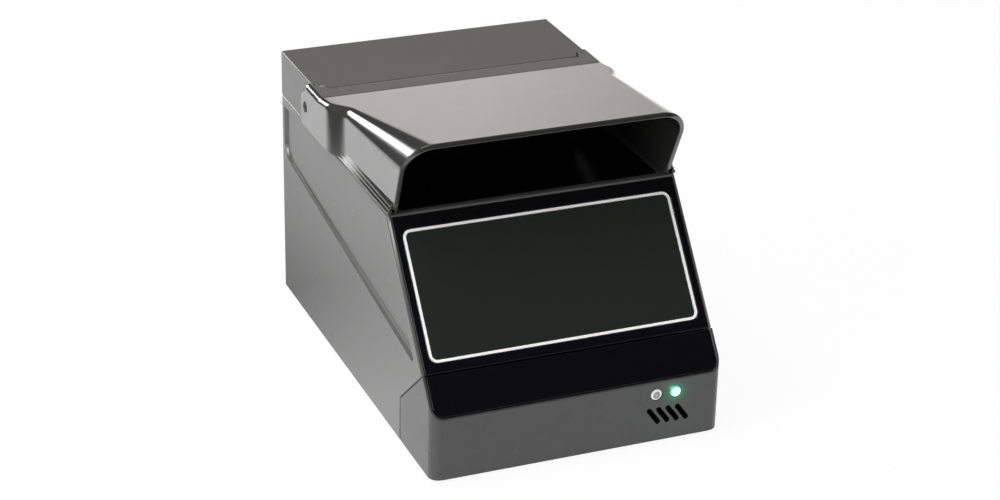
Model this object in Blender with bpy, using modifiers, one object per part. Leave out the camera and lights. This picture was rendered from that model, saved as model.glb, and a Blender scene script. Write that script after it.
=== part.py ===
"""Desk-top passport reader with a sloping scan window and a light-shielding hood.

The reader's own frame has Y = 0 on the front face and Z = 0 on the housing's bottom edge. It hangs from one
empty, which stands the rubber feet on the floor and puts the origin under the middle of the footprint.
"""

import math

import bmesh
import bpy
from mathutils import Matrix, Vector

MM = 0.001

# Clearances and faceting
GAP = 0.3 * MM
SEAM = 0.5 * MM
OVERRUN = 5.0 * MM
ARC_STEPS = 5
ROUND_SIDES = 24
SMALL_SIDES = 12

# Outside of the reader
WIDTH = 140.0 * MM
SLOPE_RUN = 58.0 * MM
DECK_LENGTH = 97.5 * MM
FRONT_HEIGHT = 30.0 * MM
SHOULDER_HEIGHT = 103.4 * MM

# Walls of the mouldings
SIDE_WALL = 4.0 * MM
REAR_WALL = 3.0 * MM
DECK_WALL = 3.0 * MM
FRONT_WALL = 3.0 * MM
COVER_WALL = 2.5 * MM
EDGE_RADIUS = 0.8 * MM
FRONT_CORNER_RADIUS = 5.0 * MM

# Seam between the housing and the front panel
SEAM_RUN = 40.2 * MM
SEAM_STRAIGHT = 21.7 * MM
SEAM_UP_SLOPE = 20.3 * MM

# Recessed field in each side wall
FIELD_DEPTH = 2.1 * MM
FIELD_REAR_DEPTH = 1.3 * MM
FIELD_REAR_INSET = 3.7 * MM
FIELD_TOP_DROP_REAR = 5.2 * MM
FIELD_TOP_DROP_FRONT = 1.9 * MM
FIELD_SLOPE_INSET = 7.0 * MM
FIELD_TIP_HEIGHT = 47.0 * MM
FIELD_REAR_DROP = 30.7 * MM
FIELD_LEDGE = 2.5 * MM
FIELD_REAR_LEDGE = 0.5 * MM
FIELD_FRONT_RADIUS = 8.0 * MM
FIELD_REAR_RADIUS = 10.0 * MM
FIELD_SMALL_RADIUS = 1.2 * MM

# Bezels, window and its outline, measured on the slope
BEZEL_EDGE = 1.4 * MM
BEZEL_THICKNESS = 2.1 * MM
BEZEL_FRONT_MARGIN = 1.0 * MM
BEZEL_TOP_MARGIN = 1.5 * MM
BEZEL_CORNER_RADIUS = 4.6 * MM
BEZEL_SHELF = 2.0 * MM
WINDOW_SIDE_MARGIN = 5.0 * MM
WINDOW_LOW_MARGIN = 4.7 * MM
WINDOW_HIGH_MARGIN = 7.45 * MM
WINDOW_RADIUS = 4.0 * MM
OUTLINE_WIDTH = 1.5 * MM

# Deck under the hood
DECK_SIDE_MARGIN = 7.5 * MM
DECK_FRONT_MARGIN = 3.0 * MM
DECK_REAR_MARGIN = 1.2 * MM
DECK_THICKNESS = 1.5 * MM
DECK_LEDGE = 2.5 * MM
DECK_CORNER_RADIUS = 2.0 * MM

# Rear cover
COVER_DEPTH = 49.4 * MM
COVER_HEIGHT = 22.6 * MM
TONGUE_REACH = 5.1 * MM
TONGUE_SIDE_INSET = 6.7 * MM
TONGUE_CHAMFER = 1.7 * MM
COVER_EDGE_RADIUS = 0.6 * MM

# Hood
HOOD_WALL = 2.3 * MM
LIP_RISE = 15.5 * MM
LIP_LEAN = 16.5 * MM
LIP_RADIUS = 12.0 * MM
HOOD_RADIUS = 2.8 * MM
LIP_SIDE_INSET = 2.1 * MM
NECK_SIDE_INSET = 1.7 * MM
HOOD_DRAFT = 0.7 * MM
STRIP_DEPTH = 16.1 * MM
STEP_SETBACK = 26.6 * MM
STEP_LENGTH = 16.0 * MM
EAR_PROUD = 2.7 * MM
FLANGE_INSET = 0.7 * MM
FLANGE_HEIGHT = 1.9 * MM
FLANGE_STEP = 1.1 * MM
FLANGE_TAB = 1.0 * MM
PLUNGER_REACH = 3.8 * MM
PLUNGER_DROP = 11.9 * MM
PLUNGER_RADIUS = 2.3 * MM
PLUNGER_SLOT = 0.9 * MM
EAR_TAIL_RADIUS = 7.5 * MM

# Lamps and sound slots in the front panel
LAMP_SIDE_INSETS = (32.5 * MM, 23.0 * MM)
LAMP_DROP = 6.5 * MM
LAMP_RADIUS = 2.6 * MM
LAMP_PROUD = 0.5 * MM
LAMP_FLANGE = 0.7 * MM
LAMP_FLANGE_THICKNESS = 1.0 * MM
LAMP_LENGTH = 6.5 * MM
SLOT_COUNT = 4
SLOT_SIDE_INSET = 33.5 * MM
SLOT_PITCH = 4.66 * MM
SLOT_DROP = 10.7 * MM
SLOT_WIDTH = 2.4 * MM
SLOT_LENGTH = 10.1 * MM
SLOT_TILT = math.radians(-53.8)

# Underside
BASE_THICKNESS = 3.0 * MM
BASE_CORNER_RADIUS = 2.0 * MM
FOOT_DROP = 1.5 * MM
FOOT_RADIUS = 8.0 * MM
FOOT_CUP = 1.0 * MM
FOOT_INSET = 16.0 * MM
POST_RADIUS = 4.0 * MM
POST_BITE = 0.5 * MM
POST_HEIGHT = 11.0 * MM
POST_FRONT_SETBACK = 12.0 * MM
POST_MIDDLE_SETBACK = 56.0 * MM
POST_REAR_SETBACK = 12.0 * MM
SCREW_HEAD_RADIUS = 2.9 * MM
SCREW_HEAD_HEIGHT = 1.6 * MM
SCREW_SHANK_RADIUS = 1.2 * MM
SCREW_SHANK_LENGTH = 8.5 * MM
VENT_COUNT = 7
VENT_PITCH = 6.0 * MM
VENT_WIDTH = 2.5 * MM
VENT_LENGTH = 26.0 * MM
VENT_REAR_SETBACK = 38.0 * MM

# Light path under the window
SHAFT_WALL = 2.0 * MM
SHAFT_CLEARANCE = 25.0 * MM
SHAFT_SIDE_CLEARANCE = 0.8 * MM
SHAFT_SIDE_TAPER = 9.0 * MM
SHAFT_LOW_MARGIN = 4.0 * MM
SHAFT_HIGH_MARGIN = 4.9 * MM
SHAFT_MOUTH_SHIFT = 1.95 * MM
MIRROR_HEIGHT = 16.9 * MM
MIRROR_SIDE_GAP = 16.2 * MM
MIRROR_LENGTH = 56.0 * MM
MIRROR_THICKNESS = 3.0 * MM
CARRIER_MARGIN = 1.5 * MM
CARRIER_RAIL = 9.0 * MM

# Camera in the rear tower
CAMERA_REAR_SETBACK = 27.0 * MM
CAMERA_DROP = 8.4 * MM
CAMERA_BOARD = 32.0 * MM
BOARD_THICKNESS = 1.6 * MM
HOLDER_WIDTH = 20.0 * MM
HOLDER_LENGTH = 10.0 * MM
BARREL_RADIUS = 6.5 * MM
BARREL_LENGTH = 15.0 * MM
BARREL_SEAT = 6.0 * MM
BARREL_BORE = 4.6 * MM
LENS_THICKNESS = 2.4 * MM
LENS_BULGE = 0.8 * MM
LENS_RECESS = 1.2 * MM
BRACKET_SHEET = 1.5 * MM
BRACKET_WIDTH = 28.0 * MM
BRACKET_DROP = 14.0 * MM

# Light bars inside the shaft
BAR_DEPTH = 26.0 * MM
BAR_HEIGHT = 8.0 * MM
BAR_END_MARGIN = 5.0 * MM
BAR_STANDOFF = 0.6 * MM
BAR_LAMPS = 5
BAR_LAMP_SIZE = 3.0 * MM
BAR_LAMP_HEIGHT = 1.0 * MM
DIFFUSER_THICKNESS = 1.2 * MM
UV_BAR_LENGTH = 80.0 * MM
UV_LAMPS = 6

# Chip reader under the deck
ANTENNA_MARGIN = 3.0 * MM
ANTENNA_BAND = 13.0 * MM
CHIP_BOARD_WIDTH = 48.0 * MM
CHIP_BOARD_LENGTH = 34.0 * MM
HEADER_WIDTH = 20.0 * MM
HEADER_DEPTH = 6.0 * MM
HEADER_HEIGHT = 4.6 * MM
HEADER_INSET = 3.0 * MM

# Main board and what stands on it
BOARD_SIDE_GAP = 10.0 * MM
BOARD_FRONT_GAP = 14.5 * MM
BOARD_REAR_GAP = 1.2 * MM
BOARD_LIFT = 6.0 * MM
BOARD_HOLE_INSET = 5.0 * MM
BOARD_BOSS_RADIUS = 2.8 * MM
BOARD_SCREW_HEAD = 2.3 * MM
BOARD_SCREW_HEIGHT = 1.4 * MM
BOARD_SCREW_LENGTH = 5.0 * MM
PROCESSOR_SIZE = 16.0 * MM
PROCESSOR_HEIGHT = 1.6 * MM
PROCESSOR_SIDE_INSET = 27.0 * MM
PROCESSOR_SETBACK_SHARE = 0.4
MEMORY_SIZE = 9.0 * MM
MEMORY_HEIGHT = 1.2 * MM
MEMORY_SIDE_INSET = 36.0 * MM
MEMORY_COUNT = 2
MEMORY_PITCH = 12.0 * MM
CAPACITOR_RADIUS = 3.2 * MM
CAPACITOR_HEIGHT = 8.0 * MM
CAPACITOR_COUNT = 3
CAPACITOR_PITCH = 9.0 * MM
CAPACITOR_CLEARANCE = 1.8 * MM
CONNECTOR_WIDTH = 16.0 * MM
CONNECTOR_DEPTH = 5.0 * MM
CONNECTOR_HEIGHT = 3.0 * MM
SMALL_CONNECTOR_WIDTH = 6.0 * MM
SMALL_CONNECTOR_DEPTH = 3.4 * MM
SMALL_CONNECTOR_HEIGHT = 2.5 * MM
SINK_SIZE = 22.0 * MM
SINK_BASE = 2.0 * MM
SINK_FINS = 6
SINK_FIN = 1.2 * MM
SINK_FIN_HEIGHT = 8.0 * MM

# Sockets in the rear wall
SOCKET_PROUD_SHARE = 0.85
USB_SIDE_INSET = 14.0 * MM
USB_WIDTH = 12.0 * MM
USB_HEIGHT = 10.8 * MM
USB_LENGTH = 16.0 * MM
USB_MOUTH_WIDTH = 8.5 * MM
USB_MOUTH_HEIGHT = 7.8 * MM
USB_MOUTH_DEPTH = 9.0 * MM
USB_TONGUE_WIDTH = 5.6 * MM
USB_TONGUE_HEIGHT = 3.2 * MM
USB_TONGUE_LENGTH = 8.0 * MM
POWER_SIDE_INSET = 28.5 * MM
POWER_WIDTH = 9.0 * MM
POWER_HEIGHT = 11.0 * MM
POWER_LENGTH = 14.0 * MM
POWER_BORE = 3.1 * MM
POWER_DEPTH = 10.0 * MM
POWER_PIN = 1.0 * MM
POWER_PIN_LENGTH = 9.0 * MM

# Boards and sound behind the front panel
LAMP_BOARD_WIDTH = 26.0 * MM
LAMP_BOARD_HEIGHT = 6.2 * MM
LAMP_BOARD_SETBACK = 6.0 * MM
LAMP_CHIP = 2.4 * MM
BOSS_RADIUS = 1.6 * MM
BOSS_INSET = 2.2 * MM
SPEAKER_WIDTH = 20.0 * MM
SPEAKER_HEIGHT = 14.0 * MM
SPEAKER_DEPTH = 4.0 * MM
SPEAKER_CORNER_RADIUS = 2.5 * MM
MAGNET_RADIUS = 5.0 * MM
MAGNET_DEPTH = 2.4 * MM
GASKET_THICKNESS = 1.0 * MM
GASKET_BAND = 2.0 * MM

# Flat cables
CABLE_THICKNESS = 0.6 * MM
CAMERA_CABLE_WIDTH = 12.0 * MM
CAMERA_CABLE_BOW = 4.0 * MM
FRONT_CABLE_WIDTH = 5.0 * MM
FRONT_CABLE_CLEARANCE = 1.0 * MM
FRONT_CABLE_SLACK = 3.0 * MM

# Sizes that follow from the ones above
HALF_WIDTH = WIDTH / 2
LAMP_OFFSETS = [HALF_WIDTH - inset for inset in LAMP_SIDE_INSETS]
SLOT_FIRST_OFFSET = HALF_WIDTH - SLOT_SIDE_INSET
LAMP_HEIGHT = FRONT_HEIGHT - LAMP_DROP
SLOT_HEIGHT = LAMP_HEIGHT - SLOT_DROP
TONGUE_FRONT = SLOPE_RUN + DECK_LENGTH
COVER_FRONT = TONGUE_FRONT + TONGUE_REACH
DEPTH = COVER_FRONT + COVER_DEPTH
COVER_TOP_HEIGHT = SHOULDER_HEIGHT + COVER_HEIGHT
INNER_HALF = HALF_WIDTH - SIDE_WALL
REAR_INSIDE = DEPTH - REAR_WALL
SLOPE_RISE = SHOULDER_HEIGHT - FRONT_HEIGHT
SLOPE_LENGTH = math.hypot(SLOPE_RUN, SLOPE_RISE)
SLOPE_ANGLE = math.atan2(SLOPE_RISE, SLOPE_RUN)
COVER_BOTTOM = SHOULDER_HEIGHT + GAP
REBATE_DEPTH = BEZEL_THICKNESS + GAP
REBATE_HALF = HALF_WIDTH - BEZEL_EDGE
BASE_TOP = BASE_THICKNESS
BOARD_BOTTOM = BASE_TOP + BOARD_LIFT
BOARD_TOP = BOARD_BOTTOM + BOARD_THICKNESS
BOARD_REAR = REAR_INSIDE - BOARD_REAR_GAP
BOARD_HALF = INNER_HALF - BOARD_SIDE_GAP
USB_OFFSET = USB_SIDE_INSET - BOARD_HALF
POWER_OFFSET = POWER_SIDE_INSET - BOARD_HALF
POST_X = INNER_HALF + POST_BITE - POST_RADIUS

# The shapes' own planes: side profiles run along Y and Z, faces of the front wall along X and Z
PROFILE_PLANE = Matrix(((0, 0, 1, 0), (1, 0, 0, 0), (0, 1, 0, 0), (0, 0, 0, 1)))
FACE_PLANE = Matrix.Rotation(math.pi / 2, 4, "X")


# Scene and collections
for old in list(bpy.data.objects):
    bpy.data.objects.remove(old)

parts = bpy.data.collections.new("passport_reader")
cutters = bpy.data.collections.new("cutters")
bpy.context.scene.collection.children.link(parts)
bpy.context.scene.collection.children.link(cutters)


def empty(name, parent=None, place=None):
    """A frame that pieces are placed in."""
    frame = bpy.data.objects.new(name, None)
    parts.objects.link(frame)
    frame.parent = parent
    if place is not None:
        frame.matrix_local = place
    return frame


reader = empty("reader", place=Matrix.Translation((0, -DEPTH / 2, FOOT_DROP)))
slope = empty(
    "slope",
    reader,
    Matrix.Translation((0, 0, FRONT_HEIGHT)) @ Matrix.Rotation(SLOPE_ANGLE, 4, "X"),
)
bpy.context.view_layer.update()


# Materials
def finish(name, colour, roughness, metallic=0.0):
    """A plain surface of one colour."""
    made = bpy.data.materials.new(name)
    made.use_nodes = True
    shader = made.node_tree.nodes["Principled BSDF"]
    shader.inputs["Base Color"].default_value = (*colour, 1.0)
    shader.inputs["Roughness"].default_value = roughness
    shader.inputs["Metallic"].default_value = metallic
    made.diffuse_color = (*colour, 1.0)
    return made


# Shaping helpers
def place_piece(name, mesh, colour, parent, place=None):
    """Puts a finished mesh in the model under its piece name."""
    piece = bpy.data.objects.new(name, mesh)
    parts.objects.link(piece)
    piece.parent = parent
    if place is not None:
        piece.matrix_local = place
    mesh.materials.clear()
    if colour is not None:
        mesh.materials.append(colour)
    return piece


def from_bmesh(name, build, colour=None, parent=reader, place=None):
    """A piece from a bmesh whose faces are turned to point out."""
    bmesh.ops.recalc_face_normals(build, faces=build.faces)
    mesh = bpy.data.meshes.new(name)
    build.to_mesh(mesh)
    build.free()
    return place_piece(name, mesh, colour, parent, place)


def add_box(build, low, high):
    """Adds a box between two corners."""
    low = Vector(low)
    high = Vector(high)
    size = Matrix.Diagonal((*(high - low), 1))
    bmesh.ops.create_cube(build, size=1.0, matrix=Matrix.Translation((low + high) / 2) @ size)


def add_rod(build, radius, start, end, sides=SMALL_SIDES, tip=None):
    """Adds a cylinder, or a cone with another radius at its end, between two points."""
    start = Vector(start)
    end = Vector(end)
    turn = Vector((0, 0, 1)).rotation_difference(end - start).to_matrix().to_4x4()
    bmesh.ops.create_cone(
        build,
        cap_ends=True,
        segments=sides,
        radius1=radius,
        radius2=radius if tip is None else tip,
        depth=(end - start).length,
        matrix=Matrix.Translation((start + end) / 2) @ turn,
    )


def box(name, low, high, colour=None, parent=reader):
    """A piece that is one box."""
    build = bmesh.new()
    add_box(build, low, high)
    return from_bmesh(name, build, colour, parent)


def rods(name, radius, spans, colour=None, parent=reader, sides=SMALL_SIDES):
    """A piece of separate equal rods, one for each pair of end points."""
    build = bmesh.new()
    for start, end in spans:
        add_rod(build, radius, start, end, sides)
    return from_bmesh(name, build, colour, parent)


def repeat(name, build, places, colour, parent=reader):
    """Equal pieces from one bmesh, each its own numbered object at its own place."""
    bmesh.ops.recalc_face_normals(build, faces=build.faces)
    mesh = bpy.data.meshes.new(name)
    build.to_mesh(mesh)
    build.free()
    mesh.materials.append(colour)
    for number, place in enumerate(places, 1):
        piece = bpy.data.objects.new(f"{name}_{number}", mesh)
        parts.objects.link(piece)
        piece.parent = parent
        piece.location = place


def rectangle(low, high):
    """The corners of an upright rectangle, anticlockwise."""
    return [(low[0], low[1]), (high[0], low[1]), (high[0], high[1]), (low[0], high[1])]


def circle(centre, radius, sides=ROUND_SIDES):
    """The points of a circle."""
    turns = [2 * math.pi * step / sides for step in range(sides)]
    return [(centre[0] + radius * math.cos(turn), centre[1] + radius * math.sin(turn)) for turn in turns]


def rounded(corners, radii, steps=ARC_STEPS):
    """A closed outline with an arc at each corner; a radius of zero keeps the corner sharp."""
    points = []
    count = len(corners)
    for index, corner in enumerate(corners):
        here = Vector(corner)
        before = (Vector(corners[index - 1]) - here).normalized()
        after = (Vector(corners[(index + 1) % count]) - here).normalized()
        radius = radii[index] if isinstance(radii, (list, tuple)) else radii
        if radius == 0:
            points.append(tuple(here))
            continue
        half = before.angle(after) / 2
        middle = here + (before + after).normalized() * (radius / math.sin(half))
        start = here + before * (radius / math.tan(half)) - middle
        end = here + after * (radius / math.tan(half)) - middle
        turn = math.atan2(start.x * end.y - start.y * end.x, start.dot(end))
        for step in range(steps + 1):
            points.append(tuple(middle + Matrix.Rotation(turn * step / steps, 2) @ start))
    return points


def plate(name, outlines, low, high, colour=None, parent=reader, plane=None):
    """A flat outline, with any holes, extruded from low to high along its plane's normal."""
    curve = bpy.data.curves.new(name, "CURVE")
    curve.dimensions = "2D"
    curve.fill_mode = "BOTH"
    curve.extrude = (high - low) / 2
    for outline in outlines:
        spline = curve.splines.new("POLY")
        spline.points.add(len(outline) - 1)
        for point, (across, up) in zip(spline.points, outline):
            point.co = (across, up, 0, 1)
        spline.use_cyclic_u = True
    drawn = bpy.data.objects.new(name + "_outline", curve)
    cutters.objects.link(drawn)
    graph = bpy.context.evaluated_depsgraph_get()
    mesh = bpy.data.meshes.new_from_object(drawn.evaluated_get(graph))
    bpy.data.objects.remove(drawn)
    build = bmesh.new()
    build.from_mesh(mesh)
    bmesh.ops.remove_doubles(build, verts=build.verts, dist=GAP / 100)
    if len(outlines) == 1:
        # Each cap becomes one face, which later cuts split more cleanly than triangles
        caps = [face for face in build.faces if len(face.verts) == 3]
        bmesh.ops.delete(build, geom=caps, context="FACES")
        bmesh.ops.holes_fill(build, edges=build.edges, sides=0)
    bmesh.ops.recalc_face_normals(build, faces=build.faces)
    build.to_mesh(mesh)
    build.free()
    mesh.name = name
    place = (plane or Matrix()) @ Matrix.Translation((0, 0, (low + high) / 2))
    return place_piece(name, mesh, colour, parent, place)


def loft(name, rings, colour=None, parent=reader):
    """A closed solid through rings of equal point counts, capped at both ends."""
    build = bmesh.new()
    rows = [[build.verts.new(point) for point in ring] for ring in rings]
    count = len(rows[0])
    for lower, upper in zip(rows, rows[1:]):
        for index in range(count):
            after = (index + 1) % count
            build.faces.new((lower[index], lower[after], upper[after], upper[index]))
    build.faces.new(rows[0])
    build.faces.new(rows[-1])
    return from_bmesh(name, build, colour, parent)


def turned(name, profile, place, colour=None, parent=reader, sides=ROUND_SIDES):
    """A turned piece: a profile of (radius, height) points from top to bottom, spun about its axis."""
    mesh = bpy.data.meshes.new(name)
    points = [(radius, 0, height) for radius, height in profile]
    mesh.from_pydata(points, [(index, index + 1) for index in range(len(points) - 1)], [])
    piece = place_piece(name, mesh, colour, parent, place)
    screw = piece.modifiers.new("spin", "SCREW")
    screw.steps = sides
    screw.render_steps = sides
    screw.use_merge_vertices = True
    screw.merge_threshold = GAP / 100
    screw.use_smooth_shade = False
    return piece


def strip(name, path, width, centre, thickness, colour=None, parent=reader):
    """A flat cable or a bent sheet: a path of (y, z) points, given its width and then its thickness."""
    build = bmesh.new()
    left = [build.verts.new((centre - width / 2, along, up)) for along, up in path]
    right = [build.verts.new((centre + width / 2, along, up)) for along, up in path]
    for index in range(len(path) - 1):
        build.faces.new((left[index], left[index + 1], right[index + 1], right[index]))
    mesh = bpy.data.meshes.new(name)
    build.to_mesh(mesh)
    build.free()
    piece = place_piece(name, mesh, colour, parent)
    sheet = piece.modifiers.new("sheet", "SOLIDIFY")
    sheet.thickness = thickness
    sheet.offset = 0
    sheet.use_even_offset = True
    return piece


def boolean(piece, tool, operation):
    """Cuts or joins with another shape, which becomes a hidden cutter."""
    step = piece.modifiers.new(operation.lower(), "BOOLEAN")
    step.operation = operation
    step.object = tool
    step.solver = "EXACT"
    tool.hide_render = True
    tool.display_type = "WIRE"
    parts.objects.unlink(tool)
    cutters.objects.link(tool)


def cut(piece, *tools):
    """Takes each tool's shape out of the piece."""
    for tool in tools:
        boolean(piece, tool, "DIFFERENCE")


def join(piece, *tools):
    """Makes each tool's shape part of the piece."""
    for tool in tools:
        boolean(piece, tool, "UNION")


def soften(piece, radius, chosen, segments=2):
    """Rounds the edges whose two ends pass the test."""
    mesh = piece.data
    weights = mesh.attributes.new("bevel_weight_edge", "FLOAT", "EDGE")
    for edge in mesh.edges:
        start, end = (mesh.vertices[index].co for index in edge.vertices)
        if chosen(start, end):
            weights.data[edge.index].value = 1.0
    rounding = piece.modifiers.new("rounding", "BEVEL")
    rounding.width = radius
    rounding.segments = segments
    rounding.limit_method = "WEIGHT"


def near(value, target):
    """Whether two lengths are the same, as far as a mesh can tell."""
    return abs(value - target) < GAP / 10


def on_slope(up, out=0.0):
    """The (y, z) of a point that lies so far up the slope and so far out of it."""
    return (
        up * math.cos(SLOPE_ANGLE) - out * math.sin(SLOPE_ANGLE),
        FRONT_HEIGHT + up * math.sin(SLOPE_ANGLE) + out * math.cos(SLOPE_ANGLE),
    )


# Finishes
anthracite = finish("anthracite", (0.105, 0.102, 0.1), 0.42)
dark_front = finish("dark_front", (0.07, 0.07, 0.07), 0.45)
gloss_black = finish("gloss_black", (0.008, 0.008, 0.01), 0.12)
white_inlay = finish("white_inlay", (0.8, 0.8, 0.79), 0.4)
window_glass = finish("window_glass", (0.02, 0.025, 0.02), 0.04)
clear_lens = finish("clear_lens", (0.55, 0.56, 0.55), 0.2)
green_lens = finish("green_lens", (0.05, 0.8, 0.4), 0.2)
rubber = finish("rubber", (0.02, 0.02, 0.02), 0.9)
steel = finish("steel", (0.5, 0.5, 0.5), 0.3, 1.0)
matt_black = finish("matt_black", (0.012, 0.012, 0.012), 0.85)
mirror_face = finish("mirror_face", (0.9, 0.9, 0.9), 0.02, 1.0)
board_green = finish("board_green", (0.02, 0.12, 0.05), 0.5)
chip_black = finish("chip_black", (0.02, 0.02, 0.02), 0.6)
diffuser_white = finish("diffuser_white", (0.75, 0.75, 0.73), 0.5)
aluminium = finish("aluminium", (0.6, 0.6, 0.62), 0.35, 1.0)
cable_grey = finish("cable_grey", (0.35, 0.35, 0.35), 0.6)
foam = finish("foam", (0.03, 0.03, 0.03), 0.95)


# Housing
def seam_line(shift):
    """The front seam from the bottom edge to the slope, moved back by a shift."""
    top = on_slope(SEAM_UP_SLOPE)
    return [(SEAM_RUN + shift, 0.0), (SEAM_RUN + shift, SEAM_STRAIGHT), (top[0] + shift, top[1])]


def slope_height(along):
    """The height of the slope's face above a place along the reader."""
    return FRONT_HEIGHT + along * math.tan(SLOPE_ANGLE)


def field_outline(ledge, rear_ledge):
    """The recessed field's outline, from its top rear corner round the front to its lower rear corner."""
    shift = FIELD_SLOPE_INSET / math.sin(SLOPE_ANGLE)
    rear = DEPTH - FIELD_REAR_INSET - rear_ledge
    top_rear = SHOULDER_HEIGHT - FIELD_TOP_DROP_REAR
    top_front = SHOULDER_HEIGHT - FIELD_TOP_DROP_FRONT
    front = (top_front - FRONT_HEIGHT) / math.tan(SLOPE_ANGLE) + shift
    tip = FIELD_TIP_HEIGHT + ledge
    tip_along = (tip - FRONT_HEIGHT) / math.tan(SLOPE_ANGLE) + shift
    rear_low = SHOULDER_HEIGHT - FIELD_REAR_DROP + rear_ledge
    corners = [(rear, top_rear), (front, top_front), (tip_along, tip), (rear, rear_low)]
    radii = [FIELD_SMALL_RADIUS, FIELD_FRONT_RADIUS, FIELD_SMALL_RADIUS, FIELD_REAR_RADIUS]
    return rounded(corners, radii)


def field_depth(along):
    """The recess's depth at a place along the reader: it runs out shallower towards the rear."""
    return FIELD_DEPTH + (FIELD_REAR_DEPTH - FIELD_DEPTH) * along / DEPTH


def field_cutter(side):
    """The recess of one side wall: straight walls above and in front, ledges below and behind."""
    mouth = field_outline(0.0, 0.0)
    floor = field_outline(FIELD_LEDGE, FIELD_REAR_LEDGE)
    levels = (HALF_WIDTH + OVERRUN, HALF_WIDTH)
    rings = [[(side * across, along, up) for along, up in mouth] for across in levels]
    rings.append([(side * (HALF_WIDTH - field_depth(along)), along, up) for along, up in floor])
    return loft("field_cutter", rings)


def posts(name, setbacks):
    """Screw posts for the base, fused to both side walls."""
    low = BASE_TOP + GAP
    build = bmesh.new()
    for side in (-1, 1):
        for along in setbacks:
            at = Vector((side * POST_X, along, low))
            add_rod(build, POST_RADIUS, at, at + Vector((0, 0, POST_HEIGHT)), ROUND_SIDES)
    return from_bmesh(name, build)


def post_holes(name, setbacks):
    """The holes that the base screws bite in."""
    radius = SCREW_SHANK_RADIUS + GAP
    top = BASE_TOP + GAP + POST_HEIGHT - BASE_THICKNESS / 2
    spans = [
        ((side * POST_X, along, 0.0), (side * POST_X, along, top)) for side in (-1, 1) for along in setbacks
    ]
    return rods(name, radius, spans)


FRONT_POSTS = (POST_FRONT_SETBACK,)
HOUSING_POSTS = (POST_MIDDLE_SETBACK, DEPTH - POST_REAR_SETBACK)
USB_TOP = BOARD_TOP + GAP + USB_HEIGHT
POWER_TOP = BOARD_TOP + GAP + POWER_HEIGHT
DECK_HALF = HALF_WIDTH - DECK_SIDE_MARGIN
DECK_START = SLOPE_RUN + DECK_FRONT_MARGIN
DECK_END = TONGUE_FRONT - DECK_REAR_MARGIN
DECK_SEAT = SHOULDER_HEIGHT - DECK_THICKNESS - GAP


def make_housing():
    """The main moulding: side walls, shoulders, rear wall, and the openings for deck, tower and sockets."""
    top_of_seam = on_slope(SEAM_UP_SLOPE)
    profile = seam_line(SEAM / 2)
    profile += [(SLOPE_RUN, SHOULDER_HEIGHT), (DEPTH, SHOULDER_HEIGHT), (DEPTH, 0.0)]
    housing = plate("housing", [profile], -HALF_WIDTH, HALF_WIDTH, anthracite, reader, PROFILE_PLANE)

    def outer_edge(start, end):
        # The profile's own axes: x runs along the reader, y up it and z across it
        across = near(abs(start.z), HALF_WIDTH) and near(abs(end.z), HALF_WIDTH)
        same_side = near(start.z, end.z)
        above = min(start.y, end.y) > top_of_seam[1] - GAP or near(start.x, end.x) and near(start.x, DEPTH)
        return across and same_side and above

    soften(housing, EDGE_RADIUS, outer_edge)
    cavity = box(
        "housing_cavity",
        (-INNER_HALF, -OVERRUN, -OVERRUN),
        (INNER_HALF, REAR_INSIDE, SHOULDER_HEIGHT - DECK_WALL),
    )
    rebate = plate(
        "bezel_rebate",
        [rectangle((-REBATE_HALF, -OVERRUN), (REBATE_HALF, SLOPE_LENGTH - BEZEL_TOP_MARGIN + GAP))],
        -REBATE_DEPTH,
        OVERRUN,
        parent=slope,
    )
    deck_seat = plate(
        "deck_seat",
        [rounded(
            rectangle((-DECK_HALF - GAP, DECK_START - GAP), (DECK_HALF + GAP, DECK_END + GAP)),
            DECK_CORNER_RADIUS + GAP,
        )],
        DECK_SEAT,
        SHOULDER_HEIGHT + OVERRUN,
    )
    deck_hole = box(
        "deck_hole",
        (-DECK_HALF + DECK_LEDGE, DECK_START + DECK_LEDGE, SHOULDER_HEIGHT - DECK_WALL - OVERRUN),
        (DECK_HALF - DECK_LEDGE, DECK_END - DECK_LEDGE, SHOULDER_HEIGHT + OVERRUN),
    )
    tower_hole = box(
        "tower_hole",
        (-DECK_HALF + DECK_LEDGE, COVER_FRONT + COVER_WALL, SHOULDER_HEIGHT - DECK_WALL - OVERRUN),
        (DECK_HALF - DECK_LEDGE, REAR_INSIDE, SHOULDER_HEIGHT + OVERRUN),
    )
    socket_holes = bmesh.new()
    for offset, width, top in ((USB_OFFSET, USB_WIDTH, USB_TOP), (POWER_OFFSET, POWER_WIDTH, POWER_TOP)):
        half = width / 2 + GAP
        add_box(
            socket_holes,
            (offset - half, REAR_INSIDE - OVERRUN, BOARD_TOP),
            (offset + half, DEPTH + OVERRUN, top + GAP),
        )
    cut(housing, cavity, rebate, deck_seat, deck_hole, tower_hole, from_bmesh("socket_holes", socket_holes))
    cut(housing, field_cutter(-1), field_cutter(1))
    join(housing, posts("housing_posts", HOUSING_POSTS))
    cut(housing, post_holes("housing_post_holes", HOUSING_POSTS))
    return housing


# Front panel with its lamp holes, sound slots and wings
SPEAKER_CENTRE = SLOT_FIRST_OFFSET + SLOT_PITCH * (SLOT_COUNT - 1) / 2
LAMP_CENTRE = sum(LAMP_OFFSETS) / len(LAMP_OFFSETS)
LAMP_BOARD_LOW = LAMP_HEIGHT - LAMP_BOARD_HEIGHT / 2
BOSS_END = FRONT_WALL + LAMP_BOARD_SETBACK


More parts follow.
